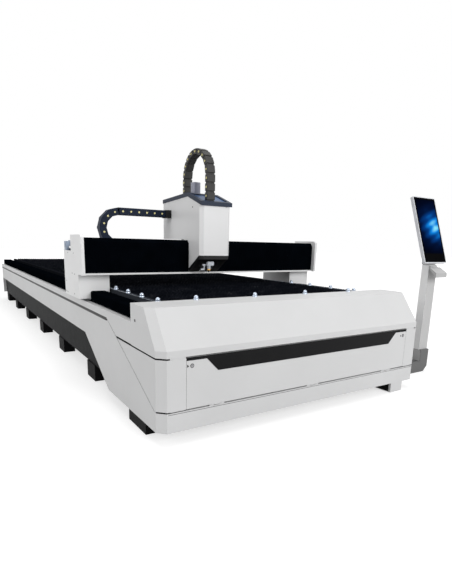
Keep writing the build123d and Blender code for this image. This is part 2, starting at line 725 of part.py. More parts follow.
def hood():
    """Front hood: upright skirt, sloped face, flat top and a short lip at the back."""

    def outer(inset, extra):
        half = BED_HALF_WIDTH - inset
        edge = half - CORNER_CHAMFER + inset * (2 - math.sqrt(2))
        front, back = inset, HOOD_BACK - inset
        top = HOOD_TOP - inset
        side = front + half - edge
        low = [(-half, back), (-half, side), (-edge, front), (edge, front), (half, side), (half, back)]
        rise = HOOD_SLOPE
        high = [(x, y if y == back else y + rise) for x, y in low]
        box = along_z(low, HOOD_BOTTOM - extra, HOOD_CREASE)
        lower = Pos(0, 0, HOOD_CREASE) * make_face(Polyline(*low, close=True))
        upper = Pos(0, 0, top) * make_face(Polyline(*high, close=True))
        return box + loft([lower, upper], ruled=True)

    shell = outer(0, 0) - outer(SHEET, 1)
    middle = block(
        -BELLOWS_IN + BELLOWS_WALL,
        BELLOWS_IN - BELLOWS_WALL,
        HOOD_BACK - 2 * SHEET,
        HOOD_BACK + 1,
        HOOD_BOTTOM - 1,
        HOOD_TOP - HOOD_LIP,
    )
    beams = block(
        -BEAM_OUT - 2,
        BEAM_OUT + 2,
        HOOD_BACK - 2 * SHEET,
        HOOD_BACK + 1,
        HOOD_BOTTOM - 1,
        BEAM_TOP + 2,
    )
    return shell - middle - beams


def front_skirt():
    """Folded skirt round the front, with a top flange that lies on the sill."""
    out, edge = BED_HALF_WIDTH, BED_HALF_WIDTH - CORNER_CHAMFER
    inset = SHEET * math.tan(math.radians(22.5))
    outer = [(-out, CORNER_CHAMFER), (-edge, 0), (edge, 0), (out, CORNER_CHAMFER)]
    inner = [
        (out - SHEET, CORNER_CHAMFER),
        (out - SHEET, CORNER_CHAMFER - SHEET + inset),
        (edge - inset, SHEET),
        (-edge + inset, SHEET),
        (-out + SHEET, CORNER_CHAMFER - SHEET + inset),
        (-out + SHEET, CORNER_CHAMFER),
    ]
    return along_z(outer + inner, SKIRT_BOTTOM, SKIRT_TOP)


def front_frame():
    """Frame behind the door: sill with the hinge knuckles and pins, two posts and a header."""
    inner = DOOR_HALF_WIDTH + DOOR_CLEARANCE
    outer = inner + POST_WIDTH
    behind = DOOR_DEPTH + DOOR_CLEARANCE
    post_left = block(-outer, -inner, SHEET, POST_DEPTH, SKIRT_TOP, HOOD_CREASE)
    post_left -= block(
        -inner + 1,
        -LOCK_X - LOCK_CAM - DOOR_CLEARANCE - SHEET,
        DOOR_DEPTH,
        DOOR_DEPTH + 2 * LOCK_CAM_WIDTH,
        LOCK_Z - 2 * LOCK_CAM_WIDTH,
        LOCK_Z + LOCK_CAM_WIDTH,
    )
    header = block(-inner, inner, behind, POST_DEPTH, HOOD_BOTTOM, HOOD_CREASE)
    sill = block(-outer, outer, SHEET, POST_DEPTH, SKIRT_BOTTOM + SHEET, SKIRT_TOP)
    for x in hinge_places():
        sill += knuckle(x + KNUCKLE_LENGTH + PANEL_GAP)
        sill += knuckle(x - KNUCKLE_LENGTH - PANEL_GAP)
        reach = 1.5 * KNUCKLE_LENGTH + PANEL_GAP
        sill += bar_x(x - reach, x + reach, HINGE_Y, HINGE_Z, PIN_RADIUS)
    return [sill, post_left, flip(post_left), header]


def hinge_places():
    middle = (HINGE_COUNT - 1) / 2
    return [(i - middle) * HINGE_SPREAD for i in range(HINGE_COUNT)]


def knuckle(x):
    """Fixed hinge knuckle on the sill."""
    half = KNUCKLE_LENGTH / 2
    barrel = bar_x(x - half, x + half, HINGE_Y, HINGE_Z, KNUCKLE_RADIUS)
    web = block(x - half, x + half, HINGE_Y, 2 * SHEET, SKIRT_TOP, HINGE_Z)
    return barrel + web


def front_door():
    """Folded door panel with returned edges and the moving hinge knuckles."""
    half = DOOR_HALF_WIDTH
    skin = block(-half, half, 0, DOOR_DEPTH, DOOR_BOTTOM, DOOR_TOP)
    skin -= block(
        -half + SHEET, half - SHEET, SHEET, DOOR_DEPTH + 1, DOOR_BOTTOM + SHEET, DOOR_TOP - SHEET
    )
    for side in (-1, 1):
        skin -= bar_y(side * LOCK_X, -1, SHEET + 1, LOCK_Z, LOCK_RADIUS + SLIDE_CLEARANCE)
    for x in hinge_places():
        k = KNUCKLE_LENGTH / 2
        skin += bar_x(x - k, x + k, HINGE_Y, HINGE_Z, KNUCKLE_RADIUS)
        skin += block(x - k, x + k, 0, HINGE_Y + PIN_RADIUS, HINGE_Z, DOOR_BOTTOM)
        skin -= bar_x(x - k - 1, x + k + 1, HINGE_Y, HINGE_Z, PIN_RADIUS + PIN_CLEARANCE)
    return skin


def door_stripe():
    """Black band along the top of the door, deeper in the middle."""
    half = DOOR_HALF_WIDTH
    outline = [
        (-half, DOOR_TOP),
        (-half, DOOR_TOP - STRIPE_THIN),
        (-STRIPE_TOP_HALF, DOOR_TOP - STRIPE_THIN),
        (-STRIPE_LOW_HALF, DOOR_TOP - STRIPE_TALL),
        (STRIPE_LOW_HALF, DOOR_TOP - STRIPE_TALL),
        (STRIPE_TOP_HALF, DOOR_TOP - STRIPE_THIN),
        (half, DOOR_TOP - STRIPE_THIN),
        (half, DOOR_TOP),
    ]
    return along_y(outline, -STRIPE_THICKNESS, 0)


def door_lock(side):
    """Quarter-turn lock: slotted head, barrel and a cam that hangs when unlocked."""
    x = side * LOCK_X
    cam_y = DOOR_DEPTH + DOOR_CLEARANCE
    head = bar_y(x, -STRIPE_THICKNESS, SHEET, LOCK_Z, LOCK_RADIUS)
    slot = block(x - 1, x + 1, -STRIPE_THICKNESS - 1, 0, LOCK_Z - LOCK_RADIUS / 2, LOCK_Z + LOCK_RADIUS / 2)
    barrel = bar_y(x, SHEET, cam_y + SHEET, LOCK_Z, LOCK_RADIUS - SHEET)
    cam = block(
        x - LOCK_CAM_WIDTH / 2,
        x + LOCK_CAM_WIDTH / 2,
        cam_y,
        cam_y + SHEET,
        LOCK_Z - LOCK_CAM,
        LOCK_Z + LOCK_RADIUS,
    )
    return head - slot + barrel + cam


def rear_panel():
    """Back sheet with an exhaust collar that points into the bed and ears for the bellows."""
    half = BED_HALF_WIDTH
    sheet = block(-half, half, BED_LENGTH - SHEET, BED_LENGTH, BEAM_BOTTOM, WALL_TOP)
    for shape in both(block(-BELLOWS_OUT, -BELLOWS_IN, BED_LENGTH - SHEET, BED_LENGTH, WALL_TOP, BELLOWS_TOP)):
        sheet += shape
    start = BED_LENGTH - COLLAR_LENGTH
    collar = bar_y(0, start, BED_LENGTH, COLLAR_Z, COLLAR_RADIUS + SHEET)
    hole = bar_y(0, start - 1, BED_LENGTH + 1, COLLAR_Z, COLLAR_RADIUS)
    return sheet + collar - hole


# Table
def table_frame():
    """Ladder with a rung over each upper cross tube and three bars that carry the slats."""
    low, high = CROSS_UPPER_TOP, BEAM_TOP
    long_side = block(-TABLE_OUT, -TABLE_IN, TABLE_START, TABLE_END, low, high)
    frame = long_side + flip(long_side)
    step = (FOOT_LAST_Y - FOOT_FIRST_Y) / (CROSS_COUNT - 1)
    half = CROSS_WIDTH / 4
    for i in range(CROSS_COUNT):
        y = max(FOOT_FIRST_Y + i * step, TABLE_START + half)
        frame += block(-TABLE_IN, TABLE_IN, y - half, y + half, low, high)
    half = BEARER_WIDTH / 2
    for x in (-BEARER_X, 0, BEARER_X):
        frame += block(x - half, x + half, TABLE_START, TABLE_END, low, SLAT_BOTTOM)
    return frame


def slat(y):
    """One toothed slat, standing across the bearers."""
    pitch = 2 * SLAT_HALF / SLAT_TEETH
    outline = [(-SLAT_HALF, SLAT_BOTTOM)]
    for i in range(SLAT_TEETH):
        left = -SLAT_HALF + i * pitch
        outline.append((left, SLAT_TOP - SLAT_TOOTH_DEPTH))
        outline.append((left + pitch / 2, SLAT_TOP))
    outline.append((SLAT_HALF, SLAT_TOP - SLAT_TOOTH_DEPTH))
    outline.append((SLAT_HALF, SLAT_BOTTOM))
    return along_y(outline, y - SLAT_THICKNESS / 2, y + SLAT_THICKNESS / 2)


def slats():
    count = int((TABLE_END - SLAT_FIRST_Y) / SLAT_PITCH) + 1
    first = slat(SLAT_FIRST_Y)
    return [Pos(0, i * SLAT_PITCH, 0) * first for i in range(count)]


def slag_trays():
    """Open pans on the lower cross tubes."""
    start, end = POST_DEPTH + TRAY_MARGIN, BED_LENGTH - COLLAR_LENGTH - TRAY_MARGIN
    length = (end - start) / TRAY_COUNT
    half = BEAM_IN - TRAY_MARGIN
    pans = []
    for i in range(TRAY_COUNT):
        y0 = start + i * length
        y1 = y0 + length - TRAY_MARGIN
        pan = block(-half, half, y0, y1, TRAY_FLOOR, TRAY_FLOOR + TRAY_HEIGHT)
        pan -= block(
            -half + TRAY_SHEET,
            half - TRAY_SHEET,
            y0 + TRAY_SHEET,
            y1 - TRAY_SHEET,
            TRAY_FLOOR + TRAY_SHEET,
            TRAY_FLOOR + TRAY_HEIGHT + 1,
        )
        pans.append(pan)
    return pans


def edge_bar():
    """Left angle on the table's edge, which carries the ball units."""
    out = -TABLE_OUT + EDGE_BAR_SHEET
    low, top = BEAM_TOP, EDGE_BAR_TOP
    outline = [
        (out, low),
        (out, top),
        (out + EDGE_BAR_WIDTH, top),
        (out + EDGE_BAR_WIDTH, top - EDGE_BAR_SHEET),
        (out + EDGE_BAR_SHEET, top - EDGE_BAR_SHEET),
        (out + EDGE_BAR_SHEET, low),
    ]
    return along_y(outline, TABLE_START, TABLE_END)


def faceted_ball(x, y, z, radius):
    """Ball of flat facets round an upright axis."""
    rings = []
    for i in range(BALL_RINGS + 1):
        angle = math.pi * (i + 0.5) / (BALL_RINGS + 1) - math.pi / 2
        ring = RegularPolygon(radius * math.cos(angle), BALL_SIDES)
        rings.append(Pos(x, y, z + radius * math.sin(angle)) * ring)
    return loft(rings, ruled=True)


def ball_unit(x, y, seat):
    """Ball transfer unit: a cup and the ball that rolls in it."""
    high = seat + BALL_HOUSING_HEIGHT
    cup = extrude(Pos(x, y, seat) * RegularPolygon(BALL_HOUSING_RADIUS, BALL_SIDES), high - seat)
    centre = seat + BALL_PROUD
    cup -= faceted_ball(x, y, centre, BALL_RADIUS + BALL_CLEARANCE)
    return [cup, faceted_ball(x, y, centre, BALL_RADIUS)]


def ball_places():
    """Ball unit positions with the height of the face that each stands on."""
    middle = (FRONT_BALL_COUNT - 1) / 2
    places = [
        ((i - middle) * FRONT_BALL_PITCH, FRONT_BALL_Y, HOOD_TOP)
        for i in range(FRONT_BALL_COUNT)
    ]
    for i in range(SIDE_BALL_COUNT):
        y = SIDE_BALL_FIRST + i * SIDE_BALL_PITCH
        places += [(-SIDE_BALL_X, y, EDGE_BAR_TOP), (SIDE_BALL_X, y, EDGE_BAR_TOP)]
    return places


# Travel guides on the bed
def y_rail():
    half = RAIL_WIDTH / 2
    return block(-RAIL_X - half, -RAIL_X + half, GUIDE_START, TABLE_END, BEAM_TOP, BEAM_TOP + RAIL_HEIGHT)


def y_rack():
    return block(-RACK_OUT, -RACK_OUT + RACK_WIDTH, GUIDE_START, TABLE_END, BEAM_TOP, BEAM_TOP + RACK_HEIGHT)


def pleat_outline(start, end, count, edge, depth, far):
    """Zigzag edge between two stations, closed by a straight edge on the far side."""
    step = (end - start) / count
    points = []
    for i in range(count):
        points.append((start + i * step, edge - depth))
        points.append((start + (i + 0.5) * step, edge))
    points.append((end, edge - depth))
    points.append((end, far))
    points.append((start, far))
    return points


def y_bellows(start, end, count):
    """Left way cover: an upturned trough, pleated on its top and both sides."""
    roof = along_x(
        pleat_outline(start, end, count, BELLOWS_TOP, PLEAT_DEPTH, BELLOWS_BOTTOM),
        -BELLOWS_OUT,
        -BELLOWS_IN,
    )
    middle = (BELLOWS_OUT + BELLOWS_IN) / 2
    half = (BELLOWS_OUT - BELLOWS_IN) / 2
    side = pleat_outline(start, end, count, half, PLEAT_DEPTH, 0)
    inner = [(half - PLEAT_DEPTH - BELLOWS_WALL, end), (half - PLEAT_DEPTH - BELLOWS_WALL, start)]
    outer = [(x, y) for y, x in side if x > 0]
    wing = along_z([(-middle + x, y) for x, y in outer + inner], BELLOWS_BOTTOM, BELLOWS_TOP)
    other = along_z([(-middle - x, y) for x, y in outer + inner], BELLOWS_BOTTOM, BELLOWS_TOP)
    core_half = half - PLEAT_DEPTH - BELLOWS_WALL
    core = block(-middle - core_half, -middle + core_half, start, end, BELLOWS_BOTTOM, BELLOWS_TOP)
    hollow = block(
        -middle - core_half,
        -middle + core_half,
        start - 1,
        end + 1,
        BELLOWS_BOTTOM - 1,
        BELLOWS_TOP - PLEAT_DEPTH - BELLOWS_WALL,
    )
    return (wing + core + other) & roof - hollow


def x_bellows(start, end, count):
    """Beam cover: pleated front and top with a chamfered edge, open at the back."""
    front, back = GANTRY_FRONT, GANTRY_FRONT + X_BELLOWS_DEPTH
    low, top = GANTRY_BEAM_BOTTOM + CARRIAGE_SHEET, X_BELLOWS_TOP
    face = pleat_outline(start, end, count, -front, PLEAT_DEPTH, -back)
    front_prism = along_z([(x, -y) for x, y in face], low, top)
    roof = pleat_outline(start, end, count, top, PLEAT_DEPTH, low)
    roof_prism = along_y(roof, front, back)
    body = front_prism & roof_prism
    corner = along_x(
        [
            (front - 1, top + 1),
            (front + X_BELLOWS_CHAMFER, top + 1),
            (front - 1, top - X_BELLOWS_CHAMFER),
        ],
        start,
        end,
    )
    wall = PLEAT_DEPTH + BELLOWS_WALL
    hollow = along_x(
        [
            (front + wall, low - 1),
            (front + wall, top - wall - X_BELLOWS_CHAMFER / 2),
            (front + wall + X_BELLOWS_CHAMFER / 2, top - wall),
            (back + 1, top - wall),
            (back + 1, low - 1),
        ],
        start - 1,
        end + 1,
    )
    return body - corner - hollow


# Gantry
def gantry_beam():
    """Box beam with a hollow leg at each end, welded in one piece."""
    end, wall = BEAM_END, GANTRY_WALL
    tube = block(-end, end, BEAM_FRONT, BEAM_BACK, GANTRY_BEAM_BOTTOM, GANTRY_BEAM_TOP)
    tube -= block(
        -end - 1,
        end + 1,
        BEAM_FRONT + wall,
        BEAM_BACK - wall,
        GANTRY_BEAM_BOTTOM + wall,
        GANTRY_BEAM_TOP - wall,
    )
    leg = block(-end, -LEG_INNER, BEAM_FRONT, BEAM_BACK, FOOT_PLATE_TOP, GANTRY_BEAM_BOTTOM)
    leg -= block(
        -end + wall,
        -LEG_INNER - wall,
        BEAM_FRONT + wall,
        BEAM_BACK - wall,
        FOOT_PLATE_TOP - 1,
        GANTRY_BEAM_BOTTOM - wall,
    )
    return tube + leg + flip(leg)


def foot_plate():
    """Left machined plate between the guide blocks and the gantry leg."""
    plate = block(
        -BEAM_END,
        -CARRIAGE_INNER - CARRIAGE_SHEET,
        CARRIAGE_FRONT + 2 * CARRIAGE_SHEET,
        CARRIAGE_BACK - 2 * CARRIAGE_SHEET,
        FOOT_PLATE_BOTTOM,
        FOOT_PLATE_TOP,
    )
    hole = post(-PINION_X, Y_MOTOR_Y, FOOT_PLATE_BOTTOM - 1, FOOT_PLATE_TOP + 1, PINION_SHAFT + 2)
    return plate - hole


def end_plate():
    """Left tall plate that closes the beam and the bellows."""
    outline = [
        (END_PLATE_FRONT, GANTRY_BEAM_BOTTOM),
        (END_PLATE_FRONT, END_PLATE_TOP - END_PLATE_CHAMFER),
        (END_PLATE_FRONT + END_PLATE_CHAMFER, END_PLATE_TOP),
        (BEAM_BACK, END_PLATE_TOP),
        (BEAM_BACK, GANTRY_BEAM_BOTTOM),
    ]
    return along_x(outline, -GANTRY_HALF, -BEAM_END)


def carriage_cover():
    """Left sheet cover round the carriage, taller behind the end plate."""
    out, inner, t = -GANTRY_HALF, -CARRIAGE_INNER, CARRIAGE_SHEET
    front, back = CARRIAGE_FRONT, CARRIAGE_BACK
    ring = block(out, inner, front, back, CARRIAGE_BOTTOM, GANTRY_BEAM_BOTTOM)
    ring -= block(out + t, inner - t, front + t, back - t, CARRIAGE_BOTTOM - 1, GANTRY_BEAM_BOTTOM + 1)
    side = block(out, out + t, BEAM_BACK, back, GANTRY_BEAM_BOTTOM, CARRIAGE_SIDE_TOP)
    tail = block(out, -PINION_X + Y_GEARBOX / 2, back - t, back, GANTRY_BEAM_BOTTOM, CARRIAGE_SIDE_TOP)
    return ring + side + tail


def y_block(y):
    """Left guide block, grooved over the rail."""
    half, rail = Y_BLOCK_WIDTH / 2, RAIL_WIDTH / 2 + SLIDE_CLEARANCE
    length = Y_BLOCK_LENGTH / 2
    low = BEAM_TOP + RAIL_HEIGHT / 2
    body = block(-RAIL_X - half, -RAIL_X + half, y - length, y + length, low, FOOT_PLATE_BOTTOM)
    top = BEAM_TOP + RAIL_HEIGHT + SLIDE_CLEARANCE
    return body - block(-RAIL_X - rail, -RAIL_X + rail, y - length - 1, y + length + 1, low - 1, top)


def y_guide_blocks():
    pieces = []
    for y in (CARRIAGE_FRONT + Y_BLOCK_INSET + Y_BLOCK_LENGTH / 2, CARRIAGE_BACK - Y_BLOCK_INSET - Y_BLOCK_LENGTH / 2):
        pieces += both(y_block(y))
    return pieces


def y_motor():
    """Left drive: gearbox on the foot plate and a servo motor above it."""
    x, y = -PINION_X, Y_MOTOR_Y
    g, m = Y_GEARBOX / 2, Y_MOTOR / 2
    gearbox = block(x - g, x + g, y - g, y + g, FOOT_PLATE_TOP, FOOT_PLATE_TOP + Y_GEARBOX_HEIGHT)
    motor = block(x - m, x + m, y - m, y + m, FOOT_PLATE_TOP + Y_GEARBOX_HEIGHT, Y_MOTOR_TOP)
    motor = chamfer(motor.edges().filter_by(Axis.Z), m / 6)
    return gearbox + motor


def pinion(x, y, bottom, shaft_top):
    """Toothed pinion with its shaft."""
    points = []
    for i in range(PINION_TEETH):
        for share, radius in (
            (-0.30, PINION_RADIUS - PINION_TOOTH),
            (-0.14, PINION_RADIUS),
            (0.14, PINION_RADIUS),
            (0.30, PINION_RADIUS - PINION_TOOTH),
        ):
            angle = 2 * math.pi * (i + share) / PINION_TEETH
            points.append((x + radius * math.cos(angle), y + radius * math.sin(angle)))
    wheel = along_z(points, bottom, bottom + PINION_HEIGHT)
    return wheel + post(x, y, bottom, shaft_top, PINION_SHAFT)


def x_rail(z):
    half = X_RAIL_HEIGHT / 2
    return block(-BEAM_END, BEAM_END, BEAM_FRONT - X_RAIL_DEPTH, BEAM_FRONT, z - half, z + half)


def x_rack():
    return block(
        -BEAM_END, BEAM_END, X_RACK_FRONT, X_RACK_BACK, GANTRY_BEAM_TOP, GANTRY_BEAM_TOP + X_RACK_HEIGHT
    )


def bellows_ledge():
    """Bright folded strip under the cross bellows."""
    t = CARRIAGE_SHEET
    front = GANTRY_FRONT - LEDGE_REACH
    outline = [
        (front, GANTRY_BEAM_BOTTOM),
        (front, GANTRY_BEAM_BOTTOM + LEDGE_LIP),
        (front + t, GANTRY_BEAM_BOTTOM + LEDGE_LIP),
        (front + t, GANTRY_BEAM_BOTTOM + t),
        (BEAM_FRONT, GANTRY_BEAM_BOTTOM + t),
        (BEAM_FRONT, GANTRY_BEAM_BOTTOM),
    ]
    return along_x(outline, -BEAM_END, BEAM_END)


def x_chain_tray():
    """Shelf behind the beam that the cross chain lies on."""
    low, t = GANTRY_BEAM_TOP, X_TRAY_SHEET
    outline = [
        (X_TRAY_START, low),
        (X_TRAY_START, low + t),
        (X_TRAY_BACK - t, low + t),
        (X_TRAY_BACK - t, low + t + X_TRAY_LIP),
        (X_TRAY_BACK, low + t + X_TRAY_LIP),
        (X_TRAY_BACK, low),
    ]
    return along_x(outline, -BEAM_END, BEAM_END)


# Cable chains
def link(pitch, height, width, wall):
    """Chain link centred on the origin along X: hexagonal cheeks and two cross webs."""
    half, flat, rise = pitch / 2, pitch / 2 - LINK_TAPER, height / 2
    outline = [(-half, 0), (-flat, rise), (flat, rise), (half, 0), (flat, -rise), (-flat, -rise)]
    body = along_y(outline, -width / 2, width / 2)
    return body - Box(pitch + 2, width - 2 * wall, height - 2 * wall)


def run_of_links(part_link, start, step, count, turn):
    """Links in a straight row; step is the vector from one link to the next."""
    dx, dz = step
    return [
        Pos(start[0] + (i + 0.5) * dx, 0, start[1] + (i + 0.5) * dz) * Rot(0, turn, 0) * part_link
        for i in range(count)
    ]


def loop_of_links(part_link, centre, radius, count, first_angle):
    """Links as the chords of a half circle, going round anticlockwise from an angle."""
    pieces = []
    reach = radius * math.cos(math.pi / (2 * count))
    for i in range(count):
        angle = first_angle + 180.0 * (i + 0.5) / count
        x = centre[0] + reach * math.cos(math.radians(angle))
        z = centre[1] + reach * math.sin(math.radians(angle))
        pieces.append(Pos(x, 0, z) * Rot(0, -(angle + 90), 0) * part_link)
    return pieces


def x_chain():
    """Upper run, loop and lower run of the cross chain."""
    one = link(X_LINK_PITCH, X_LINK_HEIGHT, X_LINK_WIDTH, X_LINK_WALL)
    place = Pos(0, X_CHAIN_FRONT + X_LINK_WIDTH / 2, 0)
    upper = run_of_links(one, (X_LOOP_X, X_UPPER_Z), (X_LINK_PITCH, 0), X_UPPER_LINKS, 0)
    lower = run_of_links(one, (X_LOOP_X, X_LOWER_Z), (X_LINK_PITCH, 0), X_LOWER_LINKS, 0)
    loop = loop_of_links(one, (X_LOOP_X, (X_UPPER_Z + X_LOWER_Z) / 2), X_LOOP_RADIUS, X_LOOP_LINKS, 90)
    return [[place * piece for piece in group] for group in (upper, loop, lower)]


def cap_top(y):
    """Height of the cap's upper face behind the ridge."""
    fall = (HEAD_RIDGE - HEAD_EAVE_BACK) / (HEAD_BACK - HEAD_RIDGE_Y)
    return HEAD_RIDGE + CAP_THICKNESS - fall * (y - HEAD_RIDGE_Y)


def z_loop_z():
    """Height of the middle of the upright chain's loop."""
    return cap_top(Z_CHAIN_BACK_Y) + CHAIN_FOOT + Z_BACK_LINKS * Z_LINK_PITCH


def z_chain():
    """Upright chain over the head, from the cap at the back down into the head."""
    one = link(Z_LINK_PITCH, Z_LINK_HEIGHT, Z_LINK_WIDTH, Z_LINK_WALL)
    middle = z_loop_z()
    front = run_of_links(one, (0, middle), (0, -Z_LINK_PITCH), Z_FRONT_LINKS, 90)
    back = run_of_links(one, (2 * Z_LOOP_RADIUS, middle), (0, -Z_LINK_PITCH), Z_BACK_LINKS, 90)
    arch = loop_of_links(one, (Z_LOOP_RADIUS, middle), Z_LOOP_RADIUS, Z_LOOP_LINKS, 0)
    place = Pos(Z_CHAIN_X, Z_CHAIN_FRONT_Y, 0) * Rot(0, 0, 90)
    return [place * piece for piece in front + arch + back]


def chain_brackets():
    """Black end bracket of the cross chain and the foot of the upright chain."""
    half = X_LINK_HEIGHT / 2 + X_LINK_WALL / 2
    cross = block(
        X_CHAIN_END,
        HEAD_LEFT,
        X_CHAIN_FRONT - X_LINK_WALL / 2,
        X_CHAIN_FRONT + X_LINK_WIDTH + X_LINK_WALL / 2,
        X_UPPER_Z - half,
        X_UPPER_Z + half,
    )
    cross -= block(
        X_CHAIN_END - 1,
        HEAD_LEFT - X_LINK_WALL,
        X_CHAIN_FRONT + X_LINK_WALL,
        X_CHAIN_FRONT + X_LINK_WIDTH - X_LINK_WALL,
        X_UPPER_Z - half + 2 * X_LINK_WALL,
        X_UPPER_Z + half - 2 * X_LINK_WALL,
    )
    reach = Z_LINK_HEIGHT / 2 + Z_LINK_WALL
    foot_outline = [
        (Z_CHAIN_BACK_Y - reach, cap_top(Z_CHAIN_BACK_Y - reach)),
        (Z_CHAIN_BACK_Y - reach, cap_top(Z_CHAIN_BACK_Y) + CHAIN_FOOT),
        (Z_CHAIN_BACK_Y + reach, cap_top(Z_CHAIN_BACK_Y) + CHAIN_FOOT),
        (Z_CHAIN_BACK_Y + reach, cap_top(Z_CHAIN_BACK_Y + reach)),
    ]
    upright = along_x(foot_outline, Z_CHAIN_X - Z_LINK_WIDTH / 2, Z_CHAIN_X + Z_LINK_WIDTH / 2)
    return [cross, upright]


# Head
def saddle():
    """Back plate of the head with a shelf over the beam, ribs and screw bearings."""
    plate = block(SADDLE_LEFT, SADDLE_RIGHT, SADDLE_FRONT, SADDLE_BACK, SADDLE_BOTTOM, SADDLE_TOP)
    shelf = block(SADDLE_LEFT, SADDLE_RIGHT, SADDLE_BACK, SHELF_BACK, SHELF_BOTTOM, SHELF_TOP)
    shelf -= post(HEAD_X, X_PINION_Y, SHELF_BOTTOM - 1, SHELF_TOP + 1, PINION_SHAFT + 2)
    rib_outline = [(SADDLE_BACK, SHELF_TOP), (SHELF_BACK, SHELF_TOP), (SADDLE_BACK, X_MOTOR_TOP)]
    ribs = [
        along_x(rib_outline, x, x + RIB_THICKNESS)
        for x in (SADDLE_LEFT, SADDLE_RIGHT - RIB_THICKNESS)
    ]
    body = plate + shelf + ribs[0] + ribs[1]
    for x0, x1 in ((HEAD_LEFT + SHEET, SADDLE_LEFT), (SADDLE_RIGHT, HEAD_RIGHT - SHEET)):
        for z in (SHELF_TOP + LUG_HEIGHT, SADDLE_TOP - 2 * LUG_HEIGHT):
            body += block(x0, x1, SADDLE_FRONT, SADDLE_BACK, z, z + LUG_HEIGHT)
    m = Z_MOTOR / 2
    mount = block(
        Z_SCREW_X - m, Z_SCREW_X + m, Z_SCREW_Y - m, Z_SCREW_Y + m, SADDLE_TOP, SADDLE_TOP + MOTOR_PLATE
    )
    body += mount
    b = Z_SCREW_RADIUS + Z_RAIL_WIDTH / 2
    for low in (Z_RAIL_BOTTOM, SADDLE_TOP - Z_BEARING_HEIGHT):
        body += block(
            Z_SCREW_X - b, Z_SCREW_X + b, Z_PLATE_BACK + 1, SADDLE_FRONT, low, low + Z_BEARING_HEIGHT
        )
    bore = Z_SCREW_RADIUS + PIN_CLEARANCE
    return body - post(Z_SCREW_X, Z_SCREW_Y, Z_RAIL_BOTTOM - 1, SADDLE_TOP + MOTOR_PLATE + 1, bore)


def x_block(x, z):
    """Guide block of the cross travel, grooved over its rail."""
    half, length = X_BLOCK_HALF, X_BLOCK_LENGTH / 2
    rail = X_RAIL_HEIGHT / 2 + SLIDE_CLEARANCE
    back = BEAM_FRONT - X_RAIL_DEPTH / 2
    body = block(x - length, x + length, SADDLE_BACK, back, z - half, z + half)
    groove = BEAM_FRONT - X_RAIL_DEPTH - SLIDE_CLEARANCE
    return body - block(x - length - 1, x + length + 1, groove, back + 1, z - rail, z + rail)


def x_guide_blocks():
    return [
        x_block(HEAD_X + side * X_BLOCK_OFFSET, z)
        for side in (-1, 1)
        for z in (X_RAIL_LOW, X_RAIL_HIGH)
    ]


def head_motors():
    """Cross drive motor on the shelf and lift motor above the saddle."""
    g, m = X_GEARBOX / 2, X_GEARBOX / 2 - 4
    top = SHELF_TOP + X_GEARBOX_HEIGHT
    cross = block(HEAD_X - g, HEAD_X + g, X_PINION_Y - g, X_PINION_Y + g, SHELF_TOP, top)
    cross += block(HEAD_X - m, HEAD_X + m, X_PINION_Y - m, X_PINION_Y + m, top, X_MOTOR_TOP)
    z = Z_MOTOR / 2
    low = SADDLE_TOP + MOTOR_PLATE
    lift = block(Z_SCREW_X - z, Z_SCREW_X + z, Z_SCREW_Y - z, Z_SCREW_Y + z, low, Z_MOTOR_TOP)
    lift = chamfer(lift.edges().filter_by(Axis.Z), z / 5)
    return [cross, lift]


def head_outline(inset):
    """Side outline of the head cover; inset moves every wall inwards."""
    i = inset
    return [
        (HEAD_FRONT + i, HEAD_BOTTOM),
        (HEAD_SLANT_START, HEAD_BOTTOM),
        (HEAD_SLANT_END, HEAD_LOW),
        (HEAD_TAIL_START, HEAD_TAIL_LOW),
        (HEAD_NOTCH_Y - i, HEAD_TAIL_LOW),
        (HEAD_NOTCH_Y - i, HEAD_NOTCH_TOP),
        (HEAD_BACK - i, HEAD_NOTCH_TOP),
        (HEAD_BACK - i, HEAD_EAVE_BACK - i),
        (HEAD_RIDGE_Y, HEAD_RIDGE - i),
        (HEAD_FRONT + i, HEAD_EAVE_FRONT - i),
    ]


def head_roof_hole(grow):
    """Space in the roof for the upright chain and the lift motor."""
    w = Z_LINK_WIDTH / 2 + grow
    h = Z_LINK_HEIGHT / 2 + grow
    chain = block(
        Z_CHAIN_X - w,
        Z_CHAIN_X + w,
        Z_CHAIN_FRONT_Y - h,
        Z_CHAIN_FRONT_Y + h,
        HEAD_NOTCH_TOP,
        HEAD_RIDGE + 2 * CAP_THICKNESS,
    )
    m = Z_MOTOR / 2 + grow / 2
    motor = block(
        Z_SCREW_X - m,
        Z_SCREW_X + m,
        Z_SCREW_Y - m,
        Z_SCREW_Y + m,
        SADDLE_TOP - 1,
        HEAD_RIDGE + 2 * CAP_THICKNESS,
    )
    return chain + motor


def head_cover():
    """Tall sheet cover, chamfered in front, notched over the beam, open underneath."""
    outer = along_x(head_outline(0), HEAD_LEFT, HEAD_RIGHT)
    front_edges = outer.edges().filter_by(Axis.Z).group_by(Axis.Y)[0]
    outer = chamfer(front_edges, HEAD_CHAMFER)
    inner = along_x(head_outline(SHEET), HEAD_LEFT + SHEET, HEAD_RIGHT - SHEET)
    inner_edges = inner.edges().filter_by(Axis.Z).group_by(Axis.Y)[0]
    inner = chamfer(inner_edges, HEAD_CHAMFER)
    shell = outer - inner
    rear = block(
        HEAD_LEFT + SHEET,
        HEAD_RIGHT - SHEET,
        HEAD_NOTCH_Y - 2 * SHEET,
        HEAD_NOTCH_Y + 1,
        HEAD_TAIL_LOW - 1,
        HEAD_NOTCH_TOP + SHEET,
    )
    return shell - rear - head_roof_hole(CAP_RECESS)


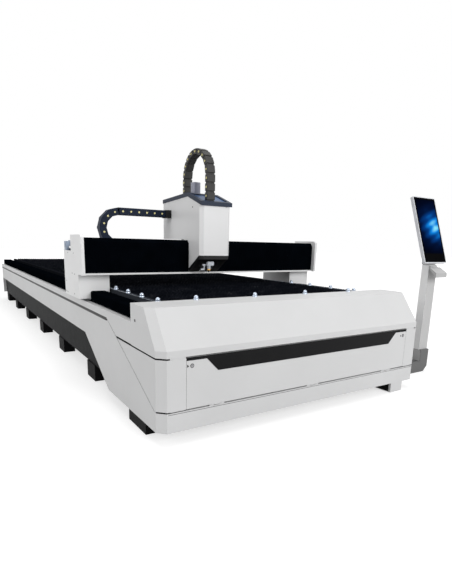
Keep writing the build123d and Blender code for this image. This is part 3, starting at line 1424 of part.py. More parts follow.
def head_cap():
    """Folded gable cap with a sunk panel on each slope."""
    front, back = HEAD_FRONT - CAP_OVERHANG, HEAD_BACK + CAP_OVERHANG
    slope_front = (HEAD_RIDGE - HEAD_EAVE_FRONT) / (HEAD_RIDGE_Y - HEAD_FRONT)
    slope_back = (HEAD_RIDGE - HEAD_EAVE_BACK) / (HEAD_BACK - HEAD_RIDGE_Y)
    eave_front = HEAD_EAVE_FRONT - CAP_OVERHANG * slope_front
    eave_back = HEAD_EAVE_BACK - CAP_OVERHANG * slope_back
    low = [(front, eave_front), (HEAD_RIDGE_Y, HEAD_RIDGE), (back, eave_back)]
    high = [(y, z + CAP_THICKNESS) for y, z in reversed(low)]
    cap = along_x(low + high, HEAD_LEFT - CAP_OVERHANG / 2, HEAD_RIGHT + CAP_OVERHANG / 2)
    rim = CAP_RIM
    panel = [
        (front + rim, eave_front + CAP_THICKNESS - CAP_RECESS + rim * slope_front),
        (HEAD_RIDGE_Y - rim, HEAD_RIDGE + CAP_THICKNESS - CAP_RECESS - rim * slope_front),
        (HEAD_RIDGE_Y - rim, HEAD_RIDGE + 2 * CAP_THICKNESS),
        (front + rim, HEAD_RIDGE + 2 * CAP_THICKNESS),
    ]
    cap -= along_x(panel, HEAD_LEFT + rim, HEAD_RIGHT - rim)
    return cap - head_roof_hole(CAP_RECESS / 2)


def head_bottom_plate():
    """Dark tray that closes the head underneath, open round the cutting head."""
    t, i = BOTTOM_PLATE, BOTTOM_PLATE_INSET
    outline = [
        (HEAD_FRONT + i, HEAD_BOTTOM),
        (HEAD_SLANT_START, HEAD_BOTTOM),
        (HEAD_SLANT_END, HEAD_LOW),
        (HEAD_SLANT_END, HEAD_LOW - t),
        (HEAD_SLANT_START + i, HEAD_BOTTOM - t),
        (HEAD_FRONT + i, HEAD_BOTTOM - t),
    ]
    tray = along_x(outline, HEAD_LEFT + i, HEAD_RIGHT - i)
    tray = chamfer(tray.edges().filter_by(Axis.Z).group_by(Axis.Y)[0], HEAD_CHAMFER)
    half = HEAD_OPENING_HALF
    opening = block(HEAD_X - half, HEAD_X + half, TORCH_Y - half, HEAD_SLANT_END + 1, HEAD_LOW - t - 1, HEAD_BOTTOM + 1)
    return tray - opening


def z_rails():
    half = Z_RAIL_WIDTH / 2
    return [
        block(
            HEAD_X + side * Z_RAIL_OFFSET - half,
            HEAD_X + side * Z_RAIL_OFFSET + half,
            SADDLE_FRONT - Z_RAIL_DEPTH,
            SADDLE_FRONT,
            Z_RAIL_BOTTOM,
            Z_RAIL_TOP,
        )
        for side in (-1, 1)
    ]


def z_screw():
    """Lift screw from the lower bearing to just under its motor."""
    top = SADDLE_TOP + MOTOR_PLATE - SLIDE_CLEARANCE
    return post(Z_SCREW_X, Z_SCREW_Y, Z_RAIL_BOTTOM, top, Z_SCREW_RADIUS)


def z_slide():
    """Lift plate with its guide blocks, screw nut and the chain arm."""
    plate = block(
        HEAD_X - Z_PLATE_HALF,
        HEAD_X + Z_PLATE_HALF,
        HEAD_PLATE_Y,
        Z_PLATE_BACK,
        Z_PLATE_BOTTOM,
        Z_PLATE_TOP,
    )
    arm_half = Z_LINK_WIDTH / 2
    arm_top = z_loop_z() - Z_FRONT_LINKS * Z_LINK_PITCH
    arm = block(
        Z_CHAIN_X - arm_half,
        Z_CHAIN_X + arm_half,
        Z_CHAIN_FRONT_Y - Z_LINK_HEIGHT / 2,
        HEAD_PLATE_Y,
        arm_top - CHAIN_FOOT,
        arm_top,
    )
    stem = block(
        Z_CHAIN_X - arm_half, Z_CHAIN_X + arm_half, HEAD_PLATE_Y, Z_PLATE_BACK, Z_PLATE_TOP, arm_top
    )
    pieces = [plate + arm + stem]
    rail = Z_RAIL_WIDTH / 2 + SLIDE_CLEARANCE
    reach = SADDLE_FRONT - Z_RAIL_DEPTH / 2
    for side in (-1, 1):
        x = HEAD_X + side * Z_RAIL_OFFSET
        for low in (Z_PLATE_BOTTOM + Z_BLOCK_HEIGHT, Z_PLATE_TOP - 2 * Z_BLOCK_HEIGHT):
            half = 1.5 * Z_RAIL_WIDTH
            piece = block(x - half, x + half, Z_PLATE_BACK, reach, low, low + Z_BLOCK_HEIGHT)
            groove = SADDLE_FRONT - Z_RAIL_DEPTH - SLIDE_CLEARANCE
            pieces.append(piece - block(x - rail, x + rail, groove, reach + 1, low - 1, low + Z_BLOCK_HEIGHT + 1))
    nut_half = Z_SCREW_RADIUS + Z_RAIL_WIDTH / 2
    middle = (Z_PLATE_BOTTOM + Z_PLATE_TOP) / 2
    nut = block(
        Z_SCREW_X - nut_half,
        Z_SCREW_X + nut_half,
        Z_PLATE_BACK,
        SADDLE_FRONT - 2,
        middle - Z_BLOCK_HEIGHT / 2,
        middle + Z_BLOCK_HEIGHT / 2,
    )
    bore = Z_SCREW_RADIUS + PIN_CLEARANCE
    pieces.append(nut - post(Z_SCREW_X, Z_SCREW_Y, middle - Z_BLOCK_HEIGHT, middle + Z_BLOCK_HEIGHT, bore))
    return pieces


def cutting_head():
    """Cutting head from its sensor ring up to the fibre connector, with its bracket."""
    x, y = HEAD_X, TORCH_Y
    half = TORCH_BODY_HALF
    body = block(x - half, x + half, y - half, y + half, BODY_BOTTOM, BODY_TOP)
    body = chamfer(body.edges().filter_by(Axis.Z), half / 5)
    body += post(x, y, SENSOR_BOTTOM, BODY_BOTTOM, SENSOR_RADIUS)
    body += post(x, y, BODY_TOP, BODY_TOP + COLLIMATOR_HEIGHT, COLLIMATOR_RADIUS)
    top = BODY_TOP + COLLIMATOR_HEIGHT
    body += post(x, y, top, top + CONNECTOR_HEIGHT, CONNECTOR_RADIUS)
    body += block(x - half, x + half, y + half, HEAD_PLATE_Y, BODY_TOP - 2 * half, BODY_TOP)
    c = SLIDE_CLEARANCE
    low = BODY_BOTTOM + DRAWER_RISE
    return body - block(
        x - DRAWER_HALF - c,
        x + DRAWER_HALF + c,
        y - half - 1,
        y - half + DRAWER_DEPTH + c,
        low - c,
        low + DRAWER_HEIGHT + c,
    )


def lens_drawer():
    """Slide-out holder of the protective window, with a lip to pull it by."""
    x, front = HEAD_X, TORCH_Y - TORCH_BODY_HALF
    low = BODY_BOTTOM + DRAWER_RISE
    tray = block(x - DRAWER_HALF, x + DRAWER_HALF, front, front + DRAWER_DEPTH, low, low + DRAWER_HEIGHT)
    tray -= post(x, TORCH_Y, low - 1, low + DRAWER_HEIGHT + 1, DRAWER_HALF / 2)
    edge = DRAWER_LIP
    lip = block(
        x - DRAWER_HALF - edge,
        x + DRAWER_HALF + edge,
        front - edge,
        front - SLIDE_CLEARANCE,
        low - edge,
        low + DRAWER_HEIGHT + edge,
    )
    neck = block(x - DRAWER_HALF, x + DRAWER_HALF, front - edge, front, low, low + DRAWER_HEIGHT)
    return tray + lip + neck


def nozzle():
    """Ceramic ring and the conical nozzle under it."""
    x, y = HEAD_X, TORCH_Y
    cone = Pos(x, y, TORCH_TIP + NOZZLE_HEIGHT / 2) * Cone(NOZZLE_TIP_RADIUS, NOZZLE_RADIUS, NOZZLE_HEIGHT)
    ring = post(x, y, CERAMIC_BOTTOM, SENSOR_BOTTOM, CERAMIC_RADIUS)
    bore = post(x, y, TORCH_TIP - 1, SENSOR_BOTTOM + 1, NOZZLE_BORE)
    return cone + ring - bore


# Console
def console_base():
    """Stepped sheet plinth with a cut corner, open underneath."""
    left, right = PLINTH_LEFT, POLE_X + POLE_WIDTH / 2
    step_x = POLE_X - POLE_WIDTH / 2
    outline = [
        (left, 0),
        (right - PLINTH_CHAMFER, 0),
        (right, PLINTH_CHAMFER),
        (right, PLINTH_TOP),
        (step_x, PLINTH_TOP),
        (step_x, PLINTH_STEP),
        (left, PLINTH_STEP),
    ]
    t = POLE_WALL
    hollow = [
        (left + t, -1),
        (right - PLINTH_CHAMFER - t, -1),
        (right - t, PLINTH_CHAMFER + t / 2),
        (right - t, PLINTH_TOP - t),
        (step_x + t, PLINTH_TOP - t),
        (step_x + t, PLINTH_STEP - t),
        (left + t, PLINTH_STEP - t),
    ]
    return along_y(outline, PLINTH_FRONT, PLINTH_BACK) - along_y(hollow, PLINTH_FRONT + t, PLINTH_BACK - t)


def console_pole():
    """Square pole with a slot for the monitor's arm."""
    half, t = POLE_WIDTH / 2, POLE_WALL
    front, back = POLE_FRONT, POLE_FRONT + POLE_DEPTH
    tube = block(POLE_X - half, POLE_X + half, front, back, PLINTH_TOP, POLE_TOP)
    return tube - block(
        POLE_X - half + t, POLE_X + half - t, front + t, back - t, PLINTH_TOP - 1, POLE_TOP - t
    )


def screen_frame():
    """Plane of the monitor's front face, at the middle of its lower edge."""
    return Plane(origin=(POLE_X, SCREEN_BOTTOM_Y, SCREEN_BOTTOM_Z), x_dir=(1, 0, 0), z_dir=screen_normal())


def screen_normal():
    lean = math.radians(SCREEN_LEAN)
    return (0, -math.cos(lean), math.sin(lean))


def in_screen(u0, u1, v0, v1, w0, w1):
    """Box in the monitor's own frame: u across, v up the face, w out of the face."""
    shape = block(u0, u1, v0, v1, w0, w1)
    return screen_frame().location * shape


def monitor_housing():
    """White shell of the monitor with rounded corners and the pocket for its glass."""
    half = SCREEN_WIDTH / 2
    shell = block(-half, half, 0, SCREEN_HEIGHT, -SCREEN_THICKNESS, 0)
    shell = fillet(shell.edges().filter_by(Axis.Z), SCREEN_CORNER)
    b = SCREEN_BEZEL
    shell -= block(-half + b, half - b, b, SCREEN_HEIGHT - b, -SCREEN_GLASS, 1)
    return screen_frame().location * shell + tilt_ears()


def tilt_ears():
    """Two ears on the monitor's back that hold the tilt pin."""
    ears = None
    for side in (-1, 1):
        inner = side * (TILT_HALF + SLIDE_CLEARANCE)
        outer = side * (TILT_HALF + TILT_EAR)
        ear = in_screen(
            min(inner, outer),
            max(inner, outer),
            TILT_RISE - TILT_RADIUS,
            TILT_RISE + TILT_RADIUS,
            -SCREEN_THICKNESS - TILT_STANDOFF - TILT_RADIUS,
            -SCREEN_THICKNESS,
        )
        ears = ear if ears is None else ears + ear
    _, y, z = tilt_axis()
    reach = TILT_HALF + TILT_EAR + 1
    return ears - bar_x(POLE_X - reach, POLE_X + reach, y, z, TILT_PIN + PIN_CLEARANCE)


def tilt_axis():
    """Point on the monitor's tilt axis."""
    point = screen_frame().from_local_coords((0, TILT_RISE, -SCREEN_THICKNESS - TILT_STANDOFF))
    return point.X, point.Y, point.Z


def monitor_screen():
    half, b = SCREEN_WIDTH / 2, SCREEN_BEZEL
    return in_screen(-half + b, half - b, b, SCREEN_HEIGHT - b, -SCREEN_GLASS, -1)


def monitor_arm():
    """Housing that rises from the pole and carries the tilt pin."""
    _, y, z = tilt_axis()
    back = POLE_FRONT + POLE_DEPTH
    outline = [
        (POLE_FRONT, POLE_TOP),
        (POLE_FRONT + POLE_DEPTH / 4, POLE_TOP + TILT_RADIUS),
        (y - TILT_RADIUS, z - TILT_RADIUS),
        (y - TILT_RADIUS, z + TILT_RADIUS),
        (y + TILT_RADIUS, z + TILT_RADIUS),
        (max(y + TILT_RADIUS, back), POLE_TOP + TILT_RADIUS),
        (back, POLE_TOP),
    ]
    half = TILT_HALF
    arm = along_x(outline, POLE_X - half, POLE_X + half)
    reach = half + TILT_EAR
    return arm + bar_x(POLE_X - reach, POLE_X + reach, y, z, TILT_PIN)


def tray_pivot():
    """Axis of the keyboard tray in front of the pole."""
    return POLE_FRONT - TRAY_PIVOT_RADIUS - PANEL_GAP, TRAY_PIVOT_Z


def keyboard_tray():
    """Folded tray that slopes forward to a lip, with cheeks and two pivot ears."""
    y, z = tray_pivot()
    back, high = y - TRAY_SETBACK, z - TRAY_PIVOT_RADIUS / 2
    front, low = y - TRAY_REACH, z - TRAY_DROP
    t = TRAY_CHEEK
    half = TRAY_HALF_WIDTH
    top = [(back, high), (front, low), (front, low - TRAY_LIP)]
    under = [(front + t, low - TRAY_LIP), (front + t, low - t), (back, high - t)]
    sheet = along_x(top + under, POLE_X - half, POLE_X + half)
    cheek = [(back, high), (front, low), (front, low - TRAY_LIP), (back, high - 2 * TRAY_PIVOT_RADIUS)]
    for side in (-1, 1):
        x0 = POLE_X + side * half
        sheet += along_x(cheek, min(x0, x0 - side * t), max(x0, x0 - side * t))
    ear_gap = POLE_WIDTH / 4
    for side in (-1, 1):
        x0 = POLE_X + side * (ear_gap + SLIDE_CLEARANCE)
        x1 = x0 + side * TRAY_EAR
        ear = bar_x(min(x0, x1), max(x0, x1), y, z, TRAY_PIVOT_RADIUS)
        ear += block(
            min(x0, x1), max(x0, x1), back - 2 * t, y, z - TRAY_PIVOT_RADIUS, z - TRAY_PIVOT_RADIUS / 2
        )
        sheet += ear
    reach = ear_gap + TRAY_EAR + 1
    return sheet - bar_x(POLE_X - reach, POLE_X + reach, y, z, TRAY_PIVOT_PIN + PIN_CLEARANCE)


def tray_bracket():
    """Lug on the pole with the tray's pivot pin and its black knob."""
    y, z = tray_pivot()
    half = POLE_WIDTH / 4
    lug = block(POLE_X - half, POLE_X + half, y, POLE_FRONT, z - TRAY_PIVOT_RADIUS, z + TRAY_PIVOT_RADIUS)
    lug += bar_x(POLE_X - half, POLE_X + half, y, z, TRAY_PIVOT_RADIUS - 1)
    reach = half + TRAY_EAR + 2 * TRAY_PIVOT_PIN
    pin = bar_x(POLE_X - reach, POLE_X + reach, y, z, TRAY_PIVOT_PIN)
    knob = bar_x(
        POLE_X - reach - TRAY_EAR, POLE_X - reach, y, z, 2 * TRAY_PIVOT_PIN
    )
    return lug + pin + knob


def main():
    os.makedirs("parts", exist_ok=True)
    save("side_beams", *both(side_beam()))
    save("cross_members", *cross_members())
    save("leveling_feet", *feet())
    save("side_walls", *both(side_wall()))
    save("lower_panels", *both(lower_panel()))
    save("corner_panels", *both(corner_panel()))
    save("hood", hood())
    save("front_skirt", front_skirt())
    save("front_frame", *front_frame())
    save("front_door", front_door())
    save("door_stripe", door_stripe())
    save("door_lock_left", door_lock(-1))
    save("door_lock_right", door_lock(1))
    save("rear_panel", rear_panel())

    save("table_frame", table_frame())
    save("slats", *slats())
    save("slag_trays", *slag_trays())
    save("edge_bars", *both(edge_bar()))
    balls = [piece for place in ball_places() for piece in ball_unit(*place)]
    save("ball_units", *balls)

    save("y_rails", *both(y_rail()))
    save("y_racks", *both(y_rack()))
    gap = BELLOWS_END_GAP
    front = y_bellows(HOOD_BACK + gap, CARRIAGE_FRONT - gap, FRONT_PLEATS)
    rear = y_bellows(CARRIAGE_BACK + gap, BED_LENGTH - SHEET - gap, REAR_PLEATS)
    save("y_bellows_front", *both(front))
    save("y_bellows_rear", *both(rear))

    save("gantry_beam", gantry_beam())
    save("gantry_foot_plates", *both(foot_plate()))
    save("gantry_end_plates", *both(end_plate()))
    save("carriage_covers", *both(carriage_cover()))
    save("y_guide_blocks", *y_guide_blocks())
    save("y_motors", *both(y_motor()))
    drive = pinion(-PINION_X, Y_MOTOR_Y, PINION_BOTTOM, FOOT_PLATE_TOP - PINION_GAP)
    save("y_pinion_left", drive)
    save("y_pinion_right", flip(drive))
    save("x_rails", x_rail(X_RAIL_LOW), x_rail(X_RAIL_HIGH))
    save("x_rack", x_rack())
    save("bellows_ledge", bellows_ledge())
    left = x_bellows(-BEAM_END + gap, HEAD_LEFT - gap, X_PLEATS_LEFT)
    right = x_bellows(HEAD_RIGHT + gap, BEAM_END - gap, X_PLEATS_RIGHT)
    save("x_bellows", left, right)
    save("x_chain_tray", x_chain_tray())
    upper, loop, lower = x_chain()
    save("x_chain_upper", *upper)
    save("x_chain_loop", *loop)
    save("x_chain_lower", *lower)

    save("saddle", saddle())
    save("x_guide_blocks", *x_guide_blocks())
    save("head_motors", *head_motors())
    save("x_pinion", pinion(HEAD_X, X_PINION_Y, GANTRY_BEAM_TOP + 1, SHELF_TOP - PINION_GAP))
    save("head_cover", head_cover())
    save("head_cap", head_cap())
    save("head_bottom_plate", head_bottom_plate())
    save("z_rails", *z_rails())
    save("z_screw", z_screw())
    save("z_chain", *z_chain())
    save("chain_brackets", *chain_brackets())

    save("z_slide", *z_slide())
    save("cutting_head", cutting_head())
    save("lens_drawer", lens_drawer())
    save("nozzle", nozzle())

    save("console_base", console_base())
    save("console_pole", console_pole())
    save("console_brackets", monitor_arm(), tray_bracket())
    save("monitor_housing", monitor_housing())
    save("monitor_screen", monitor_screen())
    save("keyboard_tray", keyboard_tray())


main()
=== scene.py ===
import math

import bmesh
import bpy
from mathutils import Matrix, Vector

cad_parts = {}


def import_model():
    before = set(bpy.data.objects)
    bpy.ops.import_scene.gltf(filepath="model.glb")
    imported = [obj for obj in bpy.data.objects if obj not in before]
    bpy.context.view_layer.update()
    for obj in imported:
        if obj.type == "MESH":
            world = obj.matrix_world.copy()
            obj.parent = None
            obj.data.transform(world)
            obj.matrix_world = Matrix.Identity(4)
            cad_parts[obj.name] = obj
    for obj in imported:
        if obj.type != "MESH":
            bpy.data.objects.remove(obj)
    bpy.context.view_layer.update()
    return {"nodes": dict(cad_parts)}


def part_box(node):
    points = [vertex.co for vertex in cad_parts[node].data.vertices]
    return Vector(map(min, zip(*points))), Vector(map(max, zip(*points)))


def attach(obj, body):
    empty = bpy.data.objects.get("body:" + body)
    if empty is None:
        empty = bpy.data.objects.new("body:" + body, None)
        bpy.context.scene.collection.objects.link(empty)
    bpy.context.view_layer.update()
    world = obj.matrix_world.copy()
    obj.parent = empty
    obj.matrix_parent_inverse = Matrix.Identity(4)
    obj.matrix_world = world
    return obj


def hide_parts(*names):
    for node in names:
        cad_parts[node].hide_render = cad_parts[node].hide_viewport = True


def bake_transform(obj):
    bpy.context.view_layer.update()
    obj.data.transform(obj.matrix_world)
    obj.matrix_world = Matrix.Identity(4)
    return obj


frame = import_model()

stripe_low, stripe_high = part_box("door_stripe")
BED = Vector(((stripe_low.x + stripe_high.x) / 2, stripe_high.y, 0.0))


# Places: lengths are in metres, and a place by the bed is measured from its front's middle
def world(x=0.0, y=0.0, z=0.0):
    """A place by the bed, in the shared frame."""
    return Vector((x, y, z)) + BED


def box_of(node):
    """Box of a CAD node, by the bed."""
    low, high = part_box(node)
    return low - BED, high - BED


def own_place(node, point):
    """A point in the node's own coordinates, where its paint is laid out."""
    return frame["nodes"][node].matrix_world.inverted() @ Vector(point)


POLE_LEFT = own_place("console_pole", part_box("console_pole")[0]).x
SIDES = (-1, 1)

# Ball units: a row on the hood, then a row down each edge of the table
HOOD_BALLS, HOOD_BALL_Y, HOOD_SEAT = (-0.870, -0.290, 0.290, 0.870), 0.482, 0.960
EDGE_BALLS, EDGE_BALL_X, EDGE_SEAT = 4, 1.131, 0.936
EDGE_BALL_START, EDGE_BALL_PITCH = 0.640, 0.340
BALL_PLACES = [(x, HOOD_BALL_Y, HOOD_SEAT) for x in HOOD_BALLS]
BALL_PLACES += [
    (side * EDGE_BALL_X, EDGE_BALL_START + EDGE_BALL_PITCH * i, EDGE_SEAT)
    for side in SIDES
    for i in range(EDGE_BALLS)
]

# Patterns in the materials: how fine they are, and the height of their relief
CLOUDS, DUST, MOTTLE, GRIME, STREAKS = 1.7, 6.0, 9.0, 14.0, 60.0
PEEL, GRAIN, WEAVE = 520.0, 900.0, 900.0
FINE_RELIEF, COAT_RELIEF, SCALE_RELIEF = 0.0003, 0.0004, 0.002


# Material nodes
def new_material(name):
    material = bpy.data.materials.new(name)
    material.use_nodes = True
    shader = material.node_tree.nodes["Principled BSDF"]
    return material, material.node_tree.nodes, material.node_tree.links, shader


def mapped(nodes, links, vector, setting, value):
    """Coordinates that are moved, turned or scaled."""
    node = nodes.new("ShaderNodeMapping")
    node.inputs[setting].default_value = value
    links.new(vector, node.inputs["Vector"])
    return node.outputs["Vector"]


def object_pattern(nodes, links, scale=(1, 1, 1)):
    coordinates = nodes.new("ShaderNodeTexCoord")
    return mapped(nodes, links, coordinates.outputs["Object"], "Scale", scale)


def noise(nodes, links, vector, scale, detail=3.0, roughness=0.55):
    texture = nodes.new("ShaderNodeTexNoise")
    texture.inputs["Scale"].default_value = scale
    texture.inputs["Detail"].default_value = detail
    texture.inputs["Roughness"].default_value = roughness
    links.new(vector, texture.inputs["Vector"])
    return texture.outputs["Fac"]


def waves(nodes, links, vector, scale, distortion):
    texture = nodes.new("ShaderNodeTexWave")
    texture.inputs["Scale"].default_value = scale
    texture.inputs["Distortion"].default_value = distortion
    links.new(vector, texture.inputs["Vector"])
    return texture.outputs["Fac"]


def fading(nodes, links, vector, kind):
    """One in the middle, falling off all round."""
    texture = nodes.new("ShaderNodeTexGradient")
    texture.gradient_type = kind
    links.new(vector, texture.inputs["Vector"])
    return texture.outputs["Fac"]


def along(nodes, links, axis, start, end):
    """Zero at one place on an axis of the node and one at another."""
    split = nodes.new("ShaderNodeSeparateXYZ")
    links.new(object_pattern(nodes, links), split.inputs["Vector"])
    node = nodes.new("ShaderNodeMapRange")
    node.inputs["From Min"].default_value = start
    node.inputs["From Max"].default_value = end
    links.new(split.outputs[axis], node.inputs["Value"])
    return node.outputs["Result"]


def combined(nodes, links, operation, first, second):
    node = nodes.new("ShaderNodeMath")
    node.operation = operation
    links.new(first, node.inputs[0])
    links.new(second, node.inputs[1])
    return node.outputs["Value"]


def ramp(nodes, links, value, stops):
    node = nodes.new("ShaderNodeValToRGB")
    elements = node.color_ramp.elements
    elements[0].position, elements[0].color = stops[0][0], (*stops[0][1], 1)
    elements[1].position, elements[1].color = stops[-1][0], (*stops[-1][1], 1)
    for place, colour in stops[1:-1]:
        elements.new(place).color = (*colour, 1)
    links.new(value, node.inputs["Fac"])
    return node.outputs["Color"]


def tones(nodes, links, value, colour, *ends):
    """A colour from dark to light; each end is a place on the ramp and a factor."""
    stops = [(place, tuple(min(1.0, c * factor) for c in colour)) for place, factor in ends]
    return ramp(nodes, links, value, stops)


def spread(nodes, links, value, low, high):
    node = nodes.new("ShaderNodeMapRange")
    node.inputs["To Min"].default_value = low
    node.inputs["To Max"].default_value = high
    links.new(value, node.inputs["Value"])
    return node.outputs["Result"]


def bump(nodes, links, height, strength, distance, shader):
    node = nodes.new("ShaderNodeBump")
    node.inputs["Strength"].default_value = strength
    node.inputs["Distance"].default_value = distance
    links.new(height, node.inputs["Height"])
    links.new(node.outputs["Normal"], shader.inputs["Normal"])


def coat_surface(nodes, links, place, shader, roughness, peel):
    """Uneven gloss and faint orange peel of powder coat."""
    grime = noise(nodes, links, place, GRIME, 3.0)
    gloss = spread(nodes, links, grime, roughness - 0.06, roughness + 0.06)
    links.new(gloss, shader.inputs["Roughness"])
    bump(nodes, links, noise(nodes, links, place, PEEL, 1.0), peel, COAT_RELIEF, shader)


# Materials
def paint(name, colour, roughness=0.42, peel=0.12, tone=0.03, specular=0.4):
    """Powder coat, with dust and handling in its tone."""
    material, nodes, links, shader = new_material(name)
    place = object_pattern(nodes, links)
    cloud = noise(nodes, links, place, CLOUDS, 4.0)
    coat = tones(nodes, links, cloud, colour, (0.3, 1 - tone), (0.7, 1 + tone / 2))
    links.new(coat, shader.inputs["Base Color"])
    coat_surface(nodes, links, place, shader, roughness, peel)
    shader.inputs["Specular IOR Level"].default_value = specular
    return material


def moulded(name, colour, roughness=0.45, grain=0.25, specular=0.5):
    """Moulded plastic with a fine grain."""
    material, nodes, links, shader = new_material(name)
    place = object_pattern(nodes, links)
    cloud = noise(nodes, links, place, MOTTLE, 3.0)
    tint = tones(nodes, links, cloud, colour, (0.3, 0.9), (0.7, 1.1))
    gloss = spread(nodes, links, cloud, roughness - 0.05, roughness + 0.08)
    links.new(tint, shader.inputs["Base Color"])
    links.new(gloss, shader.inputs["Roughness"])
    bump(nodes, links, noise(nodes, links, place, GRAIN, 2.0), grain, FINE_RELIEF, shader)
    shader.inputs["Specular IOR Level"].default_value = specular
    return material


def metal(name, colour, roughness=0.3, lay=(1, 1, 1), streak=0.10, metallic=1.0):
    """Machined metal: streaks that follow the lay of the cut, and a slow change of tone."""
    material, nodes, links, shader = new_material(name)
    place = object_pattern(nodes, links, lay)
    lines = noise(nodes, links, place, STREAKS, 5.0, 0.7)
    tint = tones(nodes, links, lines, colour, (0.25, 1 - streak), (0.75, 1 + streak))
    gloss = spread(nodes, links, lines, roughness - 0.08, roughness + 0.12)
    links.new(tint, shader.inputs["Base Color"])
    links.new(gloss, shader.inputs["Roughness"])
    bump(nodes, links, lines, 0.15, FINE_RELIEF, shader)
    shader.inputs["Metallic"].default_value = metallic
    return material


def cloth(name, colour):
    """Coated cloth of the way covers: fine weave, dull and slightly dusty."""
    material, nodes, links, shader = new_material(name)
    place = object_pattern(nodes, links)
    dust = noise(nodes, links, place, DUST, 4.0)
    tint = tones(nodes, links, dust, colour, (0.35, 0.8), (0.75, 1.35))
    links.new(tint, shader.inputs["Base Color"])
    threads = waves(nodes, links, place, WEAVE, 1.5)
    bump(nodes, links, threads, 0.25, COAT_RELIEF, shader)
    shader.inputs["Roughness"].default_value = 0.9
    shader.inputs["Specular IOR Level"].default_value = 0.0
    return material


def scorched_steel(name):
    """Slat steel: dark mill scale with burnt, rusty and scraped patches."""
    material, nodes, links, shader = new_material(name)
    patches = noise(nodes, links, object_pattern(nodes, links, (1, 3, 3)), MOTTLE, 6.0, 0.65)
    stops = [
        (0.30, (0.0020, 0.0026, 0.0045)),
        (0.50, (0.0045, 0.0055, 0.0085)),
        (0.64, (0.0120, 0.0130, 0.0170)),
        (0.82, (0.0550, 0.0540, 0.0580)),
    ]
    links.new(ramp(nodes, links, patches, stops), shader.inputs["Base Color"])
    links.new(spread(nodes, links, patches, 0.8, 0.5), shader.inputs["Roughness"])
    shader.inputs["Specular IOR Level"].default_value = 0.015
    bump(nodes, links, patches, 0.4, SCALE_RELIEF, shader)
    return material


def edge_steel(name):
    """Bright edge bar at the front of the table, with painted shade that darkens it where the
    gantry shades it.
    """
    material, nodes, links, shader = new_material(name)
    shaded_from, change = 2.2, 0.5
    start = own_place("edge_bars", (0, BED.y + shaded_from, 0)).y
    place = along(nodes, links, "Y", start, start + change)
    # Painted shade: the lit steel tone in front, a dark tone from where the gantry shades the bar
    tint = ramp(nodes, links, place, [(0.0, (0.045, 0.050, 0.060)), (1.0, (0.010, 0.011, 0.014))])
    links.new(tint, shader.inputs["Base Color"])
    lay = object_pattern(nodes, links, (1, 0.05, 1))
    lines = noise(nodes, links, lay, STREAKS, 5.0, 0.7)
    links.new(spread(nodes, links, lines, 0.4, 0.6), shader.inputs["Roughness"])
    bump(nodes, links, lines, 0.15, FINE_RELIEF, shader)
    shader.inputs["Specular IOR Level"].default_value = 0.0
    return material


def lit_and_shaded_coat(name, lit_side_colour, shaded_front_colour, border):
    """Coat of the pole with painted light: a left side painted white as lit and a front painted
    grey as shaded, parted at a width across it.
    """
    material, nodes, links, shader = new_material(name)
    place = along(nodes, links, "X", border + 0.0005, border + 0.0010)
    tint = ramp(nodes, links, place, [(0.0, lit_side_colour), (1.0, shaded_front_colour)])
    links.new(tint, shader.inputs["Base Color"])
    coat_surface(nodes, links, object_pattern(nodes, links), shader, 0.42, 0.12)
    return material


def lit_screen(name):
    """Display picture: near-black blue with a soft glow and slanted rays, of its own design."""
    material, nodes, links, shader = new_material(name)
    coordinates = nodes.new("ShaderNodeUVMap")
    coordinates.uv_map = "screen"
    flat = coordinates.outputs["UV"]
    centred = mapped(nodes, links, flat, "Location", (-0.80, -0.98, 0))
    widened = mapped(nodes, links, centred, "Scale", (0.72, 0.85, 1))
    turned = mapped(nodes, links, flat, "Rotation", (0, 0, math.radians(64)))
    glow = fading(nodes, links, widened, "QUADRATIC_SPHERE")
    rays = spread(nodes, links, waves(nodes, links, turned, 1.1, 1.6), 0.72, 1.0)
    stops = [
        (0.00, (0.0003, 0.0010, 0.0050)),
        (0.16, (0.0006, 0.0060, 0.0350)),
        (0.36, (0.0015, 0.0450, 0.2300)),
        (0.58, (0.0050, 0.2400, 0.7800)),
        (0.86, (0.2500, 0.8000, 1.0000)),
    ]
    picture = ramp(nodes, links, combined(nodes, links, "MULTIPLY", glow, rays), stops)
    links.new(picture, shader.inputs["Emission Color"])
    shader.inputs["Base Color"].default_value = (0.0005, 0.0005, 0.0008, 1)
    shader.inputs["Emission Strength"].default_value = 1.0
    shader.inputs["Roughness"].default_value = 0.3
    shader.inputs["Specular IOR Level"].default_value = 0.0
    return material


BODY_WHITE = paint("body_powder_coat", (0.605, 0.607, 0.61))
GANTRY_GREY = paint("gantry_powder_coat", (0.79, 0.792, 0.795))
HEAD_WHITE = paint("head_powder_coat", (0.77, 0.772, 0.777), 0.35, 0.06)
BEAM_DARK = paint("beam_paint", (0.009, 0.0095, 0.010), 0.6, 0.3, 0.1, 0.05)
FOOT_BLACK = paint("foot_paint", (0.006, 0.006, 0.0065), 0.6, 0.3, 0.1, 0.05)
SLAT_STEEL = scorched_steel("scorched_slat_steel")
TRAY_STEEL = metal("tray_sheet_steel", (0.055, 0.056, 0.060), 0.5, metallic=0.5)
EDGE_STEEL = edge_steel("edge_bar_steel")
BALL_STEEL = metal("ball_steel", (0.42, 0.47, 0.55), 0.25, streak=0.04)
RAIL_STEEL = metal("ground_rail_steel", (0.42, 0.43, 0.45), 0.28, (0.1, 0.1, 1))
MACHINED = metal("machined_steel", (0.36, 0.37, 0.39), 0.35)
ALLOY = metal("anodised_alloy", (0.33, 0.35, 0.38), 0.38)
BRASS = metal("turned_brass", (0.60, 0.38, 0.14), 0.25)
CHROME = metal("lock_chrome", (0.30, 0.30, 0.31), 0.25, streak=0.03)
MOTOR = paint("motor_casing", (0.17, 0.21, 0.29), 0.4, 0.2)
LIFT_MOTOR = paint("lift_motor_casing", (0.30, 0.31, 0.38), 0.4, 0.2)
CONNECTOR = moulded("connector_shell", (0.26, 0.32, 0.42), 0.4, 0.1)
